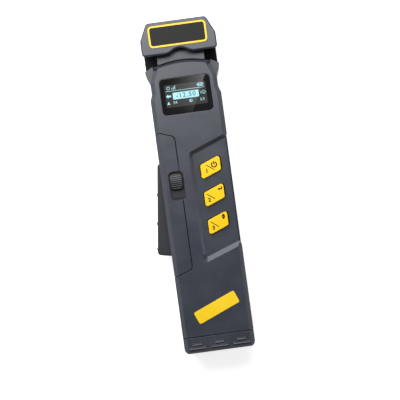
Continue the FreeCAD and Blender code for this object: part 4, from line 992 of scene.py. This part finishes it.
def make_floor():
    """Pale floor that stays white around a soft shadow."""
    material, tree, shader = new_material("studio_floor")
    shader.inputs["Base Color"].default_value = colour(FLOOR_TONE)
    shader.inputs["Roughness"].default_value = FLOOR_ROUGHNESS
    path = add_node(tree, "LightPath").outputs
    seen = add_node(tree, "Math", {0: path["Is Camera Ray"], 1: path["Is Glossy Ray"]}, operation="MAXIMUM")
    through = add_node(tree, "Math", {0: seen.outputs["Value"], 1: path["Is Transmission Ray"]},
                       operation="MAXIMUM")
    lift = add_node(tree, "Math", {0: through.outputs["Value"], 1: FLOOR_LIFT}, operation="MULTIPLY")
    place = add_node(tree, "TexCoord").outputs["Object"]
    away = add_node(tree, "VectorMath", {0: place}, operation="LENGTH")
    near_edge, far_edge = FLOOR_FADE
    far = add_node(tree, "MapRange", {"Value": away.outputs["Value"], "From Min": near_edge,
                                      "From Max": far_edge, "To Max": 1 - FLOOR_LIFT})
    white = add_node(tree, "Math", {0: far.outputs["Result"], 1: path["Is Camera Ray"],
                                    2: lift.outputs["Value"]}, operation="MULTIPLY_ADD")
    tree.links.new(white.outputs["Value"], shader.inputs["Emission Strength"])
    shader.inputs["Emission Color"].default_value = (1, 1, 1, 1)
    shape = bmesh.new()
    bmesh.ops.create_grid(shape, x_segments=1, y_segments=1, size=FLOOR_HALF_SIZE)
    mesh = bpy.data.meshes.new("studio_floor")
    shape.to_mesh(mesh)
    shape.free()
    mesh.materials.append(material)
    floor = bpy.data.objects.new("studio_floor", mesh)
    bpy.context.scene.collection.objects.link(floor)


def make_world():
    """Even grey surroundings that look white behind the object."""
    world = bpy.data.worlds.new("studio")
    world.use_nodes = True
    bpy.context.scene.world = world
    tree = world.node_tree
    back = [node for node in tree.nodes if node.type == "BACKGROUND"][0]
    back.inputs["Color"].default_value = (1, 1, 1, 1)
    path = add_node(tree, "LightPath").outputs
    strength = spread(tree, path["Is Camera Ray"], WORLD_LIGHT, WORLD_SEEN)
    tree.links.new(strength, back.inputs["Strength"])


def fade_softbox(data):
    """Make a softbox brightest at its top right corner."""
    data.use_nodes = True
    tree = data.node_tree
    glow = [node for node in tree.nodes if node.type == "EMISSION"][0]
    across = add_node(tree, "NewGeometry").outputs["Parametric"]
    axes = add_node(tree, "SeparateXYZ", {"Vector": across}).outputs
    eased = add_node(tree, "Math", {0: axes["X"], 1: CARD_FADE_POWER}, operation="POWER")
    strength = add_node(tree, "Math", {0: eased.outputs["Value"], 1: axes["Y"]}, operation="MULTIPLY")
    tree.links.new(strength.outputs["Value"], glow.inputs["Strength"])


def add_softbox(name, place, target, size, watts, roll_deg=0):
    """Rectangular softbox that points at a target; places and sizes are in metres."""
    data = bpy.data.lights.new(name, "AREA")
    data.shape = "RECTANGLE"
    data.size, data.size_y = size
    data.energy = watts
    lamp = bpy.data.objects.new(name, data)
    lamp.visible_camera = False
    aim = Vector(target) - Vector(place)
    turn = aim.to_track_quat("-Z", "Y") @ Matrix.Rotation(math.radians(roll_deg), 3, "Z").to_quaternion()
    lamp.matrix_world = Matrix.Translation(place) @ turn.to_matrix().to_4x4()
    bpy.context.scene.collection.objects.link(lamp)
    return data


def make_lights():
    """Softboxes over and behind the head, weaker ones around, and a fading card that the window mirrors."""
    for name, box in SOFTBOXES.items():
        add_softbox(name, **box)
    fade_softbox(add_softbox("window_card", **WINDOW_CARD))


def make_camera():
    """Camera of the photograph, above the front."""
    data = bpy.data.cameras.new("photo_camera")
    data.sensor_width = SENSOR_WIDTH
    data.lens = SENSOR_WIDTH * VIEW_DISTANCE / VIEW_WIDTH
    camera = bpy.data.objects.new("photo_camera", data)
    x, y = VIEW_CENTRE
    camera.location = (x * MM, y * MM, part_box("front_cover")[1].z + VIEW_DISTANCE * MM)
    camera.rotation_euler = (0, 0, math.radians(VIEW_ROLL_DEG))
    bpy.context.scene.collection.objects.link(camera)
    bpy.context.scene.camera = camera


dress_nodes()
make_label_border()
make_screen_ground()
make_screen_cells()
make_screen_figures()
make_key("key_power", "power_key")
make_key("key_reference", "reference_key")
make_key("key_set", "set_key")
make_lock_slider()
make_knob_ribs()
make_grip_ribs()
make_neck_edge()
make_power_print()
make_reference_print()
make_set_print()
make_back_screws()
make_jaw_spring()
make_floor()
make_world()
make_lights()
make_camera()
bpy.context.scene.view_settings.view_transform = "Standard"
